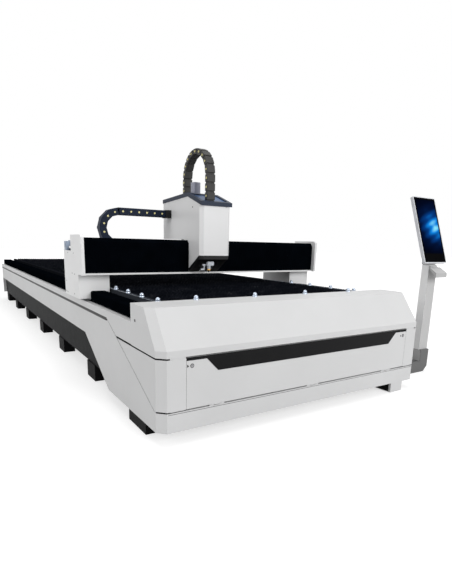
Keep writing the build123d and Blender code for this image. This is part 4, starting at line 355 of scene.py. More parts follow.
BELLOWS = cloth("bellows_cloth", (0.0011, 0.0017, 0.0028))
SCREEN_FRAME = moulded("screen_frame_black", (0.0035, 0.0035, 0.0040), 0.4, 0.03, 0.0)
STRIPE = moulded("gloss_black_band", (0.006, 0.006, 0.0065), 0.45, 0.03, 0.08)
NAVY = moulded("chain_navy", (0.008, 0.014, 0.030), 0.5, 0.1, 0.1)
DARK_GREY = moulded("chain_dark_grey", (0.044, 0.043, 0.042), 0.5, 0.2, 0.2)
GOLD = moulded("chain_stud_gold", (0.68, 0.62, 0.27), 0.4, 0.05)
BLACK = moulded("black_plastic", (0.006, 0.006, 0.007), 0.45, 0.2, 0.2)
SCREW = moulded("screw_black", (0.03, 0.03, 0.033), 0.4, 0.05, 0.3)
SLATE = moulded("cap_slate_blue", (0.017, 0.026, 0.048), 0.45, 0.08, 0.2)
DEEP_BLUE = moulded("cap_recess_blue", (0.045, 0.095, 0.21), 0.4, 0.08, 0.3)
WHITE_PLASTIC = moulded("white_plastic", (0.66, 0.67, 0.70), 0.35, 0.05)
# Painted light and shade on the pole: white on its lit left side, grey on its shaded front
CONSOLE_LIT_AND_SHADED = lit_and_shaded_coat("console_lit_and_shaded_coat", (0.90,) * 3, (0.47,) * 3, POLE_LEFT)
CONSOLE_GREY = paint("console_grey_coat", (0.105, 0.105, 0.105), 0.45, 0.2)
# Painted light: the lit left side of the console base, lighter than its grey front
CONSOLE_LIT_SIDE = paint("console_lit_side_coat", (0.50, 0.50, 0.50), 0.45, 0.2)
CONSOLE_TRAY = paint("console_tray_coat", (0.44, 0.44, 0.44), 0.4, 0.1)
SCREEN = lit_screen("lit_screen")

FINISHES = {
    BODY_WHITE: [
        "side_walls", "lower_panels", "corner_panels", "hood",
        "front_skirt", "front_door", "front_frame", "rear_panel",
    ],
    GANTRY_GREY: [
        "gantry_beam", "gantry_end_plates", "carriage_covers", "bellows_ledge", "x_chain_tray",
    ],
    HEAD_WHITE: ["head_cover"],
    BEAM_DARK: ["side_beams", "cross_members", "table_frame"],
    FOOT_BLACK: ["leveling_feet"],
    SLAT_STEEL: ["slats"],
    TRAY_STEEL: ["slag_trays"],
    EDGE_STEEL: ["edge_bars"],
    BALL_STEEL: ["ball_units"],
    RAIL_STEEL: ["y_rails", "y_racks", "x_rails", "x_rack", "z_rails", "z_screw"],
    MACHINED: [
        "gantry_foot_plates", "y_guide_blocks", "x_guide_blocks", "saddle",
        "y_pinion_left", "y_pinion_right", "x_pinion",
    ],
    ALLOY: ["z_slide", "cutting_head", "lens_drawer"],
    BRASS: ["nozzle"],
    CHROME: ["door_lock_left", "door_lock_right"],
    MOTOR: ["y_motors"],
    LIFT_MOTOR: ["head_motors"],
    BELLOWS: ["y_bellows_front", "y_bellows_rear", "x_bellows"],
    STRIPE: ["door_stripe"],
    NAVY: ["x_chain_upper", "x_chain_loop", "x_chain_lower"],
    DARK_GREY: ["z_chain"],
    BLACK: ["chain_brackets", "head_bottom_plate"],
    SLATE: ["head_cap"],
    WHITE_PLASTIC: ["monitor_housing"],
    CONSOLE_LIT_AND_SHADED: ["console_pole", "console_brackets", "keyboard_tray"],
    CONSOLE_GREY: ["console_base"],
    SCREEN: ["monitor_screen"],
}
for finish, members in FINISHES.items():
    for member in members:
        node = frame["nodes"][member]
        node.data.materials.clear()
        node.data.materials.append(finish)


# Modelling helpers
def piece(name, mesh, material, smooth=False):
    """A piece from a mesh that was built by the bed."""
    data = bpy.data.meshes.new(name)
    bmesh.ops.translate(mesh, verts=mesh.verts, vec=BED)
    mesh.to_mesh(data)
    mesh.free()
    for polygon in data.polygons:
        polygon.use_smooth = smooth
    thing = bpy.data.objects.new(name, data)
    bpy.context.scene.collection.objects.link(thing)
    data.materials.append(material)
    return thing


def verts_of(geometry):
    return [g for g in geometry if isinstance(g, bmesh.types.BMVert)]


def edges_of(geometry):
    return [g for g in geometry if isinstance(g, bmesh.types.BMEdge)]


def edges_around(verts):
    """Each edge at these corners once, always in the same order."""
    return list(dict.fromkeys(e for v in verts for e in v.link_edges))


def extrude(mesh, faces, offset):
    """Gives flat faces a thickness."""
    made = bmesh.ops.extrude_face_region(mesh, geom=faces)["geom"]
    bmesh.ops.translate(mesh, verts=verts_of(made), vec=offset)
    bmesh.ops.recalc_face_normals(mesh, faces=mesh.faces)


def add_box(mesh, low, high, edge=0.0, steps=2):
    low, high = Vector(low), Vector(high)
    place = Matrix.Translation((low + high) / 2) @ Matrix.Diagonal((*(high - low), 1))
    made = bmesh.ops.create_cube(mesh, size=1.0, matrix=place)["verts"]
    if edge:
        bmesh.ops.bevel(
            mesh,
            geom=edges_around(made),
            offset=edge,
            segments=steps,
            profile=0.5,
            affect="EDGES",
            material=-1,
        )


def side_box(mesh, sign, across, lengthwise, up, edge=0.0, steps=2):
    """A box on one side of the bed, from its three ranges."""
    left, right = sorted((sign * across[0], sign * across[1]))
    low, high = (left, lengthwise[0], up[0]), (right, lengthwise[1], up[1])
    add_box(mesh, low, high, edge, steps)


def add_rod(mesh, centre, radius, length, axis="Z", sides=24):
    quarter = math.pi / 2
    turns = {
        "X": Matrix.Rotation(quarter, 4, "Y"),
        "Y": Matrix.Rotation(quarter, 4, "X"),
        "Z": Matrix(),
    }
    bmesh.ops.create_cone(
        mesh,
        cap_ends=True,
        segments=sides,
        radius1=radius,
        radius2=radius,
        depth=length,
        matrix=Matrix.Translation(centre) @ turns[axis],
    )


def soften(thing, width):
    modifier = thing.modifiers.new("soft_edges", "BEVEL")
    modifier.width = width
    modifier.segments = 2
    modifier.limit_method = "ANGLE"
    modifier.angle_limit = math.radians(35)


# Slats with their fine teeth
def toothed_slats():
    """One slat cut with teeth, then its copies, each with its tips a little to one side."""
    low, high = box_of("slats")
    pitch, thickness, tooth_width, tooth_depth = 0.105, 0.005, 0.040, 0.020
    wander, wander_step = 0.012, 2.4
    count = round((high.y - low.y - thickness) / pitch) + 1
    width, middle = high.x - low.x, (low.z + high.z) / 2
    teeth = round(width / tooth_width)
    mesh = bmesh.new()
    bmesh.ops.create_grid(mesh, x_segments=2 * teeth, y_segments=1, size=0.5)
    bmesh.ops.scale(mesh, verts=mesh.verts, vec=(width, high.z - low.z, 1))
    upright = Matrix.Rotation(math.pi / 2, 3, "X")
    bmesh.ops.rotate(mesh, verts=mesh.verts, cent=(0, 0, 0), matrix=upright)
    bmesh.ops.translate(mesh, verts=mesh.verts, vec=((low.x + high.x) / 2, low.y, middle))
    crest = sorted((v for v in mesh.verts if v.co.z > middle), key=lambda v: v.co.x)
    bmesh.ops.translate(mesh, verts=crest[::2], vec=(0, 0, -tooth_depth))
    extrude(mesh, mesh.faces[:], (0, thickness, 0))
    first = mesh.verts[:] + mesh.edges[:] + mesh.faces[:]
    for row in range(1, count):
        moved = verts_of(bmesh.ops.duplicate(mesh, geom=first)["geom"])
        bmesh.ops.translate(mesh, verts=moved, vec=(0, row * pitch, 0))
        shift = wander * math.sin(row * wander_step)
        for v in moved:
            if v.co.z > middle:
                v.co.x = min(high.x, max(low.x, v.co.x + shift))
    slats = piece("toothed_slats", mesh, SLAT_STEEL)
    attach(slats, "root")
    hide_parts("slats")


# Pleated way covers
CLOTH_THICKNESS = 0.0016
COVER_GAP = 0.001


def pleated(name, profile, axis, start, end, pitch, depth, centre):
    """Cloth bent to a profile and folded along an axis; the profile holds (across, up) points."""
    mesh = bmesh.new()
    folds = max(2, round(abs(end - start) / pitch))
    lengthwise = Vector((1, 0, 0)) if axis == "X" else Vector((0, 1, 0))
    flat = Matrix.Diagonal((0, 1, 1)) if axis == "X" else Matrix.Diagonal((1, 0, 1))

    def place(across, up, distance):
        return (distance, across, up) if axis == "X" else (across, distance, up)

    verts = [mesh.verts.new(place(across, up, start)) for across, up in profile]
    edges = [mesh.edges.new(pair) for pair in zip(verts, verts[1:])]
    step = (end - start) / (2 * folds)
    core = Vector(place(*centre, 0))
    for row in range(2 * folds):
        made = bmesh.ops.extrude_edge_only(mesh, edges=edges)["geom"]
        verts, edges = verts_of(made), edges_of(made)
        inward = 1 if row % 2 == 0 else -1
        for v in verts:
            away = flat @ (v.co - core)
            v.co -= away.normalized() * depth * inward
        bmesh.ops.translate(mesh, verts=verts, vec=lengthwise * step)
    cover = piece(name, mesh, BELLOWS)
    body = cover.modifiers.new("cloth", "SOLIDIFY")
    body.thickness = CLOTH_THICKNESS
    body.offset = 0
    return cover


def y_covers():
    """Covers over the rails of the bed, in front of the gantry and behind it."""
    width, cut, pitch, depth = 0.154, 0.012, 0.036, 0.006
    for end_name, node in (("front", "y_bellows_front"), ("rear", "y_bellows_rear")):
        low, high = box_of(node)
        top, bottom = high.z - COVER_GAP, low.z + COVER_GAP
        for side, sign in (("left", -1), ("right", 1)):
            outer, inner = sign * (high.x - COVER_GAP), sign * (high.x - width)
            profile = [
                (outer, bottom),
                (outer, top - cut),
                (outer - sign * cut, top),
                (inner + sign * cut, top),
                (inner, top - cut),
                (inner, bottom),
            ]
            centre = ((outer + inner) / 2, (top + bottom) / 2)
            name = f"y_cover_{end_name}_{side}"
            cover = pleated(name, profile, "Y", low.y, high.y, pitch, depth, centre)
            if end_name == "front":
                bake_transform(cover)
            else:
                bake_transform(cover)
        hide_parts(node)


def x_covers():
    """Covers over the beam, to the left of the head and to its right."""
    cut, pitch, depth, head_gap, core_back = 0.034, 0.030, 0.005, 0.0005, 0.05
    low, high = box_of("x_bellows")
    head_low, head_high = box_of("head_cover")
    front, back, bottom, top = low.y + COVER_GAP, high.y, low.z, high.z - COVER_GAP
    profile = [(front, bottom), (front, top - cut), (front + cut, top), (back, top)]
    centre = ((front + back) / 2 + core_back, (bottom + top) / 2)
    for side, start, end in (
        ("left", low.x, head_low.x - head_gap),
        ("right", head_high.x + head_gap, high.x),
    ):
        cover = pleated(f"x_cover_{side}", profile, "X", start, end, pitch, depth, centre)
        if side == "left":
            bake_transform(cover)
        else:
            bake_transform(cover)
    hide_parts("x_bellows")


# Cable chains: reach is the share of the pitch that a link fills, barrel the radius and length
# of its joint, and stud the radius of its studs as a share of its height
CROSS_LINK = {
    "pitch": 0.090, "height": 0.076, "width": 0.100,
    "reach": 1.0, "edge": 0.008, "barrel": (0.0375, 0.0984), "stud": 0.13,
}
UPRIGHT_LINK = {
    "pitch": 0.086, "height": 0.054, "width": 0.090,
    "reach": 0.84, "edge": 0.003, "barrel": (0.01782, 0.081), "stud": 0.20,
}


def join(mesh, extra, place):
    """Adds one mesh to another at a place."""
    bmesh.ops.transform(extra, matrix=place, verts=extra.verts)
    data = bpy.data.meshes.new("joined")
    extra.to_mesh(data)
    extra.free()
    mesh.from_mesh(data)
    bpy.data.meshes.remove(data)


def chain_link(mesh, place, pitch, height, width, reach, edge, barrel):
    """One closed link in its own frame, X along the chain, with the barrel of its joint."""
    link = bmesh.new()
    half, rise = pitch / 2, height / 2
    add_box(link, (-half * reach, -width / 2, -rise), (half * reach, width / 2, rise), edge)
    add_rod(link, (-half, 0, 0), *barrel, "Y", sides=28)
    join(mesh, link, place)


def chain_stud(mesh, place, width, radius):
    """The two round studs on the sides of a link."""
    length, proud = 0.0028, 0.0012
    stud = bmesh.new()
    for side in SIDES:
        add_rod(stud, (0, side * (width / 2 + proud), 0), radius, length, "Y", sides=16)
    join(mesh, stud, place)


def chain(name, places, material, pitch, height, width, reach, edge, barrel, stud):
    """Links and studs of one run, as two pieces."""
    links, studs = bmesh.new(), bmesh.new()
    for place in places:
        chain_link(links, place, pitch, height, width, reach, edge, barrel)
        chain_stud(studs, place, width, height * stud)
    return piece(name, links, material), piece(f"{name}_studs", studs, GOLD)


def run_places(start, step, count, turn):
    start, step = Vector(start), Vector(step)
    return [Matrix.Translation(start + step * (i + 0.5)) @ turn for i in range(count)]


def cross_chain():
    """Chain behind the beam: its upper run rolls through the loop into its lower run."""
    upper_count, lower_count, count = 6, 8, 6
    pitch = CROSS_LINK["pitch"]
    upper_low, upper_high = box_of("x_chain_upper")
    lower_low, lower_high = box_of("x_chain_lower")
    y = (upper_low.y + upper_high.y) / 2
    upper_z = (upper_low.z + upper_high.z) / 2
    lower_z = (lower_low.z + lower_high.z) / 2
    bend_x, end_x, fixed_x = upper_low.x, upper_high.x, lower_high.x
    upper = run_places((bend_x, y, upper_z), (pitch, 0, 0), upper_count, Matrix())
    lower = run_places((bend_x, y, lower_z), (pitch, 0, 0), lower_count, Matrix())
    for name, places, start, end in (
        ("cross_chain_upper", upper, 2 * bend_x - end_x, end_x),
        ("cross_chain_lower", lower, fixed_x, 2 * bend_x - fixed_x),
    ):
        parts = chain(name, places, NAVY, **CROSS_LINK)
        for part in parts:
            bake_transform(part)
        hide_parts("x_chain_upper" if name.endswith("upper") else "x_chain_lower")
    reach = (upper_z - lower_z) / 2 * math.cos(math.pi / (2 * count))
    loop = []
    for i in range(count):
        angle = math.radians(90 + 180 * (i + 0.5) / count)
        x = bend_x + reach * math.cos(angle)
        z = (upper_z + lower_z) / 2 + reach * math.sin(angle)
        turn = Matrix.Rotation(-(angle + math.pi / 2), 4, "Y")
        loop.append(Matrix.Translation((x, y, z)) @ turn)
    parts = chain("cross_chain_loop", loop, NAVY, **CROSS_LINK)
    for part in parts:
        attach(part, "x_chain_loop")
    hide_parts("x_chain_loop")


def upright_chain():
    """Chain in an arch over the head: four links up at the front, two down at the back."""
    front_count, back_count, count = 4, 2, 9
    pitch = UPRIGHT_LINK["pitch"]
    low, high = box_of("z_chain")
    x = (low.x + high.x) / 2
    radius = pitch / (2 * math.sin(math.pi / (2 * count)))
    front_y = (low.y + high.y) / 2 - radius
    back_y = (low.y + high.y) / 2 + radius
    middle = low.z + front_count * pitch
    sideways = Matrix.Rotation(math.pi / 2, 4, "Z")
    upright = sideways @ Matrix.Rotation(math.pi / 2, 4, "Y")
    places = run_places((x, front_y, middle), (0, 0, -pitch), front_count, upright)
    places += run_places((x, back_y, middle), (0, 0, -pitch), back_count, upright)
    reach = radius * math.cos(math.pi / (2 * count))
    for i in range(count):
        angle = math.pi * (i + 0.5) / count
        y, z = front_y + radius + reach * math.cos(angle), middle + reach * math.sin(angle)
        turn = sideways @ Matrix.Rotation(-(angle + math.pi / 2), 4, "Y")
        places.append(Matrix.Translation((x, y, z)) @ turn)
    parts = chain("upright_chain", places, DARK_GREY, **UPRIGHT_LINK)
    for part in parts:
        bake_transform(part)
    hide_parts("z_chain")


# Console
def screen_picture():
    """The lit picture on the glass, inside a black border."""
    lean, tall, foot = math.radians(19), 0.735, (2.055, 0.318, 1.248)
    side_border, end_border, rise, proud = 0.044, 0.120, 0.050, 0.0008
    node = frame["nodes"]["monitor_screen"]
    low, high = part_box("monitor_screen")
    width = high.x - low.x
    mesh = bmesh.new()
    bmesh.ops.create_grid(mesh, x_segments=1, y_segments=1, size=0.5, calc_uvs=False)
    layer = mesh.loops.layers.uv.new("screen")
    for face in mesh.faces:
        for loop in face.loops:
            loop[layer].uv = (loop.vert.co.x + 0.5, (loop.vert.co.y + 0.5) * tall / width)
    bmesh.ops.scale(mesh, verts=mesh.verts, vec=(width - side_border, tall - end_border, 1))
    bmesh.ops.translate(mesh, verts=mesh.verts, vec=(0, tall / 2 + rise, -proud))
    turn = Matrix.Rotation(math.pi / 2 - lean, 4, "X")
    bmesh.ops.transform(mesh, matrix=Matrix.Translation(foot) @ turn, verts=mesh.verts)
    bmesh.ops.recalc_face_normals(mesh, faces=mesh.faces)
    for face in mesh.faces:
        if face.normal.y > 0:
            face.normal_flip()
    picture = piece("screen_picture", mesh, SCREEN)
    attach(picture, "monitor")
    node.data.materials.clear()
    node.data.materials.append(SCREEN_FRAME)


def narrow_tray():
    """The tray with its wings drawn in to the width that shows under the monitor."""
    kept, width_share, depth_share = 0.080, 0.22, 0.68
    node = frame["nodes"]["keyboard_tray"]
    low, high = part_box("keyboard_tray")
    middle = (low.x + high.x) / 2
    mesh = bmesh.new()
    mesh.from_mesh(node.data)
    bmesh.ops.transform(mesh, matrix=node.matrix_world, verts=mesh.verts)
    for v in mesh.verts:
        v.co.y = high.y + (v.co.y - high.y) * depth_share
        off = v.co.x - middle
        if abs(off) > kept:
            v.co.x = middle + math.copysign(kept + (abs(off) - kept) * width_share, off)
    bmesh.ops.translate(mesh, verts=mesh.verts, vec=-BED)
    tray = piece("sloping_tray", mesh, CONSOLE_TRAY)
    soften(tray, 0.002)
    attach(tray, "keyboard_tray")
    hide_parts("keyboard_tray")


def painted_lit_console_side():
    """Left side of the console's base, painted light grey as its lit side."""
    thickness, inset, bottom = 0.002, 0.004, 0.134
    low, high = box_of("console_base")
    left = box_of("console_pole")[0].x
    mesh = bmesh.new()
    add_box(mesh, (left - thickness, low.y + inset, bottom), (left, high.y - inset, high.z - inset))
    skin = piece("console_painted_lit_side", mesh, CONSOLE_LIT_SIDE)
    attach(skin, "root")


# Head
def cap_recess():
    """Lighter panel sunk in the front slope of the cap."""
    left, right, front, back = -0.328, 0.030, 1.381, 1.680
    eave_y, eave, ridge, cap_height = 1.390, 1.775, 1.876, 0.028
    margin, inset, sunk, lift = 0.036, 0.012, 0.004, 0.0015
    slope = (ridge - eave) / (back - eave_y)
    x0, x1, y0, y1 = left + margin, right - margin, front + margin, back - margin
    z0 = eave + cap_height + (y0 - eave_y) * slope
    z1 = ridge + cap_height - margin * slope
    mesh = bmesh.new()
    corners = ((x0, y0, z0), (x1, y0, z0), (x1, y1, z1), (x0, y1, z1))
    face = mesh.faces.new([mesh.verts.new(corner) for corner in corners])
    bmesh.ops.inset_region(mesh, faces=[face], thickness=inset, depth=sunk)
    bmesh.ops.translate(mesh, verts=mesh.verts, vec=(0, 0, lift))
    panel = piece("cap_front_panel", mesh, DEEP_BLUE)
    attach(panel, "head")


# Ball units
def smooth_balls():
    """Balls in their cups along the hood and down both edges of the table."""
    cup_radius, ball_radius, ball_rise = 0.023, 0.019, 0.0188
    lip = ((0.023, 0.009), (0.0215, 0.0115), (0.0195, 0.012), (0.0188, 0.008))
    cups, balls = bmesh.new(), bmesh.new()
    for x, y, seat in BALL_PLACES:
        place = Matrix.Translation((x, y, seat))
        ring = bmesh.ops.create_circle(cups, segments=32, radius=cup_radius, matrix=place)
        edges = edges_around(ring["verts"])
        for radius, rise in lip:
            made = bmesh.ops.extrude_edge_only(cups, edges=edges)["geom"]
            edges = edges_of(made)
            for v in verts_of(made):
                out = Vector((v.co.x - x, v.co.y - y, 0)).normalized() * radius
                v.co = Vector((x + out.x, y + out.y, seat + rise))
        place = Matrix.Translation((x, y, seat + ball_rise))
        bmesh.ops.create_uvsphere(
            balls, u_segments=32, v_segments=20, radius=ball_radius, matrix=place
        )
    bmesh.ops.recalc_face_normals(cups, faces=cups.faces)
    cup = piece("ball_cups", cups, BALL_STEEL, True)
    ball = piece("balls", balls, BALL_STEEL, True)
    for thing in (cup, ball):
        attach(thing, "root")
    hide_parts("ball_units")


# Small fittings
def disc_row(name, places, radius, depth, body):
    """Round black discs on a face that looks sideways: screw heads, and on the hood the painted
    shade of a small hole.
    """
    mesh = bmesh.new()
    for place in places:
        add_rod(mesh, place, radius, depth, "X", sides=20)
    thing = piece(name, mesh, SCREW)
    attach(thing, body)


def side_slot_shadows():
    """Painted shadow: a black strip for the shade in the slot between each side wall and the lower
    panel.
    """
    proud, deep = 0.0006, 0.020
    wall = box_of("side_walls")[1].x
    mesh = bmesh.new()
    for sign in SIDES:
        side_box(mesh, sign, (wall - deep, wall + proud), (1.098, 8.990), (0.7305, 0.7585))
    slot_shadow_strips = piece("side_slot_shadows", mesh, BLACK)
    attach(slot_shadow_strips, "root")


def panel_seam_shadows():
    """Painted shade: black strips for the shade in the seams down the side panels, up the ends of
    the door and over the front skirt.
    """
    wall = box_of("side_walls")[1].x
    proud, deep, line = 0.0005, 0.0020, 0.0030
    foot_y, foot_z, head_y, head_z, width = 0.073, 0.2495, 1.094, 0.7515, 0.0055
    front, door_end, corner = 0.0004, 1.2042, 1.343
    above_skirt, on_skirt = 0.2485, 0.2345
    mesh = bmesh.new()
    for sign in SIDES:
        profile = (
            (foot_y, foot_z), (head_y, head_z), (head_y + width, head_z), (foot_y + width, foot_z),
        )
        ring = [
            [mesh.verts.new((x, y, z)) for y, z in profile]
            for x in (sign * (wall + proud), sign * (wall - deep))
        ]
        mesh.faces.new(ring[0])
        mesh.faces.new(ring[1][::-1])
        for i in range(4):
            j = (i + 1) % 4
            mesh.faces.new((ring[0][j], ring[0][i], ring[1][i], ring[1][j]))
        side_box(mesh, sign, (door_end - line, door_end), (0.0006, 0.0036), (0.2500, 0.6300))
    for left, right, bottom in (
        (-corner, -door_end, above_skirt),
        (door_end, corner, above_skirt),
        (-corner, corner, on_skirt),
    ):
        add_box(mesh, (left, -front, bottom), (right, deep - front, bottom + line))
    bmesh.ops.recalc_face_normals(mesh, faces=mesh.faces)
    seam_shadows = piece("panel_seam_shadows", mesh, BLACK)
    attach(seam_shadows, "root")


def edge_highlights():
    """Painted highlight: a bright strip along the top of each edge bar, in front of the gantry."""
    width, highlight_bevel = 0.006, 0.0006
    edge = box_of("edge_bars")[1].x
    strips = bmesh.new()
    for sign in SIDES:
        side_box(strips, sign, (edge - width, edge), (0.532, 2.200), (0.9355, 0.9385), highlight_bevel, 1)
    bright = piece("edge_highlights", strips, BALL_STEEL)
    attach(bright, "root")


def head_fittings():
    """Sensor leads, clamps and a gas fitting beside the cutting head, under the slide."""
    top = 1.246
    leads, clamps = bmesh.new(), bmesh.new()
    for x, y, bottom, radius in (
        (-0.246, 1.520, 1.128, 0.008),
        (-0.222, 1.540, 1.150, 0.006),
        (-0.266, 1.535, 1.160, 0.005),
    ):
        add_rod(leads, (x, y, (bottom + top) / 2), radius, top - bottom, sides=16)
    for low, high in (
        ((-0.262, 1.500, 1.122), (-0.226, 1.530, 1.140)),
        ((-0.236, 1.512, 1.168), (-0.196, 1.532, 1.186)),
    ):
        add_box(clamps, low, high, 0.002)
    for centre, radius, length, sides in (
        ((-0.212, 1.523, 1.146), 0.010, 0.046, 20),
        ((-0.149, 1.5765, 1.163), 0.0475, 0.012, 40),
    ):
        add_rod(clamps, centre, radius, length, sides=sides)
    for name, shape, material, slot in (
        ("head_leads", leads, BLACK, "bracket_black"),
        ("head_clamps", clamps, ALLOY, "head_alloy"),
    ):
        thing = piece(name, shape, material)
        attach(thing, "z_slide")


def carriage_fittings():
    """Connector boxes of the drive motors and the screws in the side of each carriage."""
    gap, inset, sunk, edge, box_heights = 0.0005, 0.008, 0.004, 0.006, (1.255, 1.392)
    plug_radius, plug_length, plug_depth, plug_back, plug_z = 0.017, 0.058, 0.030, 0.045, 1.352
    face = box_of("carriage_covers")[1].x
    motor_low, motor_high = box_of("y_motors")
    across = (motor_high.x - gap, face - sunk)
    lengthwise = (motor_low.y + inset, motor_high.y - inset)
    boxes = bmesh.new()
    for sign in SIDES:
        side_box(boxes, sign, across, lengthwise, box_heights, edge)
        plug = (sign * (face - plug_depth), motor_high.y - plug_back, plug_z)
        add_rod(boxes, plug, plug_radius, plug_length, "X")
    shells = piece("motor_connectors", boxes, CONNECTOR)
    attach(shells, "gantry")
    spots = (
        (2.12, 1.278), (1.895, 1.278), (2.25, 0.985), (2.255, 0.880),
        (2.20, 0.872), (1.925, 0.878), (1.98, 1.080), (1.885, 1.075),
    )
    screws = [(sign * (face + 0.0004), y, z) for sign in SIDES for y, z in spots]
    disc_row("carriage_screws", screws, 0.0065, 0.0012, "gantry")


# Feet
def foot_blocks():
    """Feet under the side beams; the first pair is wider low down and reaches forward."""
    count, half, gap, edge = 7, 0.140, 0.0005, 0.003
    inner, outer, wide, ahead, wide_top = 1.225, 1.361, 1.402, 0.075, 0.097
    low, high = box_of("leveling_feet")
    first, last = low.y + half, high.y - half
    bottom, top = low.z + gap, high.z - gap
    mesh = bmesh.new()
    for i in range(count):
        y = first + (last - first) * i / (count - 1)
        for sign in SIDES:
            if i == 0:
                lengthwise = (y - half - ahead, y + half)
                side_box(mesh, sign, (inner, wide), lengthwise, (bottom, wide_top), edge)
            side_box(mesh, sign, (inner, outer), (y - half, y + half), (bottom, top), edge)
    blocks = piece("foot_blocks", mesh, FOOT_BLACK)
    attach(blocks, "root")
    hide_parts("leveling_feet")


def corner_leg():
    """Light leg that closes the right end of the skirt; a black sheet on its inner side is painted
    shade.
    """
    bottom, height = 0.0005, 0.1005
    outline = [(1.062, 0.004), (1.225, 0.004), (1.325, 0.070), (1.325, 0.300), (1.062, 0.300)]
    leg = bmesh.new()
    base = leg.faces.new([leg.verts.new((x, y, bottom)) for x, y in outline])
    extrude(leg, [base], (0, 0, height))
    shell = piece("right_corner_leg", leg, BODY_WHITE)
    soften(shell, 0.004)
    inside = bmesh.new()
    add_box(inside, (1.0595, 0.030, 0.008), (1.0615, 0.290, 0.098))
    inner_shade_sheet = piece("corner_leg_inner_shade", inside, FOOT_BLACK)
    for thing, slot in ((shell, "body_paint"), (inner_shade_sheet, "foot_paint")):
        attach(thing, "root")


# Door
def lock_bezels():
    """Round black bezels behind the locks, and a small pointer beside each."""
    drop, radius, depth, proud, thickness = 0.011, 0.0155, 0.0012, 0.0004, 0.0008
    pointer = ((-0.040, 0.011), (-0.040, -0.011), (-0.024, 0.0))
    bezels, pointers = bmesh.new(), bmesh.new()
    for node in ("door_lock_left", "door_lock_right"):
        low, high = box_of(node)
        x, z = (low.x + high.x) / 2, high.z - drop
        add_rod(bezels, (x, proud, z), radius, depth, "Y", sides=32)
        corners = [pointers.verts.new((x + right, -proud, z + up)) for right, up in pointer]
        pointers.faces.new(corners)
    extrude(pointers, pointers.faces[:], (0, thickness, 0))
    for name, mesh in (("lock_bezels", bezels), ("lock_pointers", pointers)):
        thing = piece(name, mesh, BLACK)
        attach(thing, "front_door")


toothed_slats()
smooth_balls()
foot_blocks()
corner_leg()
lock_bezels()
# Black disc on the side of the hood: painted shade of a small hole
disc_row("hood_hole_shade", [(-1.4094, 0.421, 0.840)], 0.012, 0.0014, "root")
disc_row("head_side_screw", [(-0.3284, 1.571, 1.764)], 0.0075, 0.0012, "head")
side_slot_shadows()
panel_seam_shadows()
edge_highlights()
head_fittings()
carriage_fittings()
y_covers()
x_covers()
cross_chain()
upright_chain()
screen_picture()
narrow_tray()
painted_lit_console_side()
cap_recess()

# Floor, backdrop, light and camera
WHITE = (1, 1, 1, 1)
FLOOR_TONE, NEAR_GLOW, GLOW_SCALE = 0.55, 0.62, 0.055
FLOOR_SIZE, FLOOR_DROP = 60, 0.0005
SKY_STRENGTH = 0.42


def seen_directly(nodes, links):
    """One for camera, glossy and transmission rays, so that white stays white in reflections."""
    path = nodes.new("ShaderNodeLightPath")
    value = path.outputs["Is Camera Ray"]
    for ray in ("Is Glossy Ray", "Is Transmission Ray"):
        value = combined(nodes, links, "MAXIMUM", value, path.outputs[ray])
    return value


def studio_floor():
    """Pale floor that keeps the machine's shadow and glows to white away from it."""
    material, nodes, links, shader = new_material("studio_floor")
    shader.inputs["Base Color"].default_value = (FLOOR_TONE, FLOOR_TONE, FLOOR_TONE, 1)
    shader.inputs["Roughness"].default_value = 0.8
    shader.inputs["Specular IOR Level"].default_value = 0.1
    place = object_pattern(nodes, links, (GLOW_SCALE,) * 3)
    near = fading(nodes, links, place, "SPHERICAL")
    tone = ramp(nodes, links, near, [(0.0, (1, 1, 1)), (0.75, (NEAR_GLOW,) * 3)])
    glow = nodes.new("ShaderNodeEmission")
    links.new(tone, glow.inputs["Color"])
    both = nodes.new("ShaderNodeAddShader")
    links.new(shader.outputs["BSDF"], both.inputs[0])
    links.new(glow.outputs["Emission"], both.inputs[1])
    part = nodes.new("ShaderNodeMixShader")
    links.new(seen_directly(nodes, links), part.inputs["Fac"])
    links.new(shader.outputs["BSDF"], part.inputs[1])
    links.new(both.outputs["Shader"], part.inputs[2])
    links.new(part.outputs["Shader"], nodes["Material Output"].inputs["Surface"])
    mesh = bmesh.new()
    bmesh.ops.create_grid(mesh, x_segments=1, y_segments=1, size=FLOOR_SIZE)
    bmesh.ops.translate(mesh, verts=mesh.verts, vec=(0, 0, -FLOOR_DROP))
    floor = piece("studio_ground", mesh, material)


def studio_sky():
    """Soft sky light, with a white backdrop where it is seen."""
    sky_world = bpy.data.worlds.new("studio_sky")
    bpy.context.scene.world = sky_world
    sky_world.use_nodes = True
    nodes, links = sky_world.node_tree.nodes, sky_world.node_tree.links
    sky = nodes["Background"]
    sky.inputs["Color"].default_value = WHITE
    sky.inputs["Strength"].default_value = SKY_STRENGTH
    white = nodes.new("ShaderNodeBackground")
    white.inputs["Color"].default_value = WHITE
    white.inputs["Strength"].default_value = 1.0
    mix = nodes.new("ShaderNodeMixShader")
    links.new(seen_directly(nodes, links), mix.inputs["Fac"])
    links.new(sky.outputs["Background"], mix.inputs[1])
    links.new(white.outputs["Background"], mix.inputs[2])
    links.new(mix.outputs["Shader"], nodes["World Output"].inputs["Surface"])


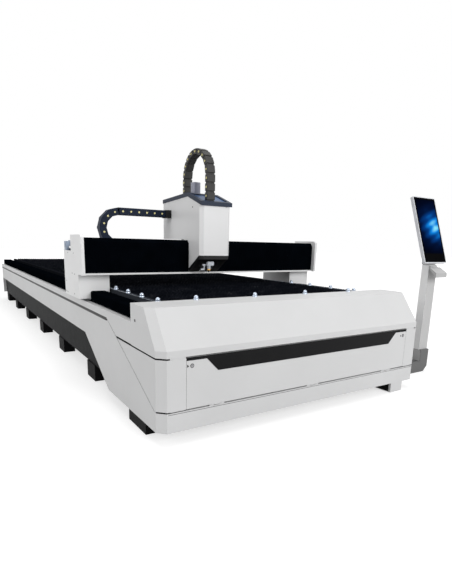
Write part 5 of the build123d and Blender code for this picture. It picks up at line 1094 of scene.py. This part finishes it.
def lamp(name, place, target, size, power):
    """Square soft light; its size is in metres and its power in watts."""
    light = bpy.data.lights.new(name, "AREA")
    light.shape = "SQUARE"
    light.size = size
    light.energy = power
    thing = bpy.data.objects.new(name, light)
    bpy.context.scene.collection.objects.link(thing)
    thing.location = world(*place)
    aim = (world(*target) - world(*place)).to_track_quat("-Z", "Y")
    thing.rotation_euler = aim.to_euler()


# Camera, solved from the photograph's own edges; the lens is in pixels of its frame
FRAME_WIDTH, FRAME_HEIGHT = 452, 584
FOCAL_LENGTH, CENTRE_X, CENTRE_Y = 438.337, 227.368, 341.456
CAMERA_PLACE = (-2.542, -2.600, 1.406)
YAW, PITCH, ROLL = math.radians(32.712), math.radians(12.604), math.radians(1.382)
SENSOR = 36


def camera():
    ahead = Vector(
        (math.sin(YAW) * math.cos(PITCH), math.cos(YAW) * math.cos(PITCH), -math.sin(PITCH))
    )
    right = Vector((math.cos(YAW), -math.sin(YAW), 0))
    up = right.cross(ahead)
    side = right * math.cos(ROLL) + up * math.sin(ROLL)
    top = up * math.cos(ROLL) - right * math.sin(ROLL)
    data = bpy.data.cameras.new("photo_camera")
    data.lens = FOCAL_LENGTH / FRAME_HEIGHT * SENSOR
    data.sensor_width = SENSOR
    data.shift_x = (FRAME_WIDTH / 2 - CENTRE_X) / FRAME_HEIGHT
    data.shift_y = (CENTRE_Y - FRAME_HEIGHT / 2) / FRAME_HEIGHT
    data.clip_start, data.clip_end = 0.05, 200
    thing = bpy.data.objects.new("photo_camera", data)
    bpy.context.scene.collection.objects.link(thing)
    spin = Matrix((side, top, -ahead)).transposed().to_4x4()
    thing.matrix_world = Matrix.Translation(world(*CAMERA_PLACE)) @ spin
    bpy.context.scene.camera = thing


studio_floor()
studio_sky()
lamp("front_light", (4.0, -15.0, 7.5), (0.2, 1.5, 0.8), 9.0, 1800)
lamp("top_light", (0.0, 3.0, 12.0), (0.0, 3.0, 0.8), 9.0, 560)
lamp("left_light", (-14.0, 0.0, 7.0), (-0.5, 3.0, 0.8), 8.0, 570)
camera()

scene = bpy.context.scene
scene.view_settings.view_transform = "Standard"
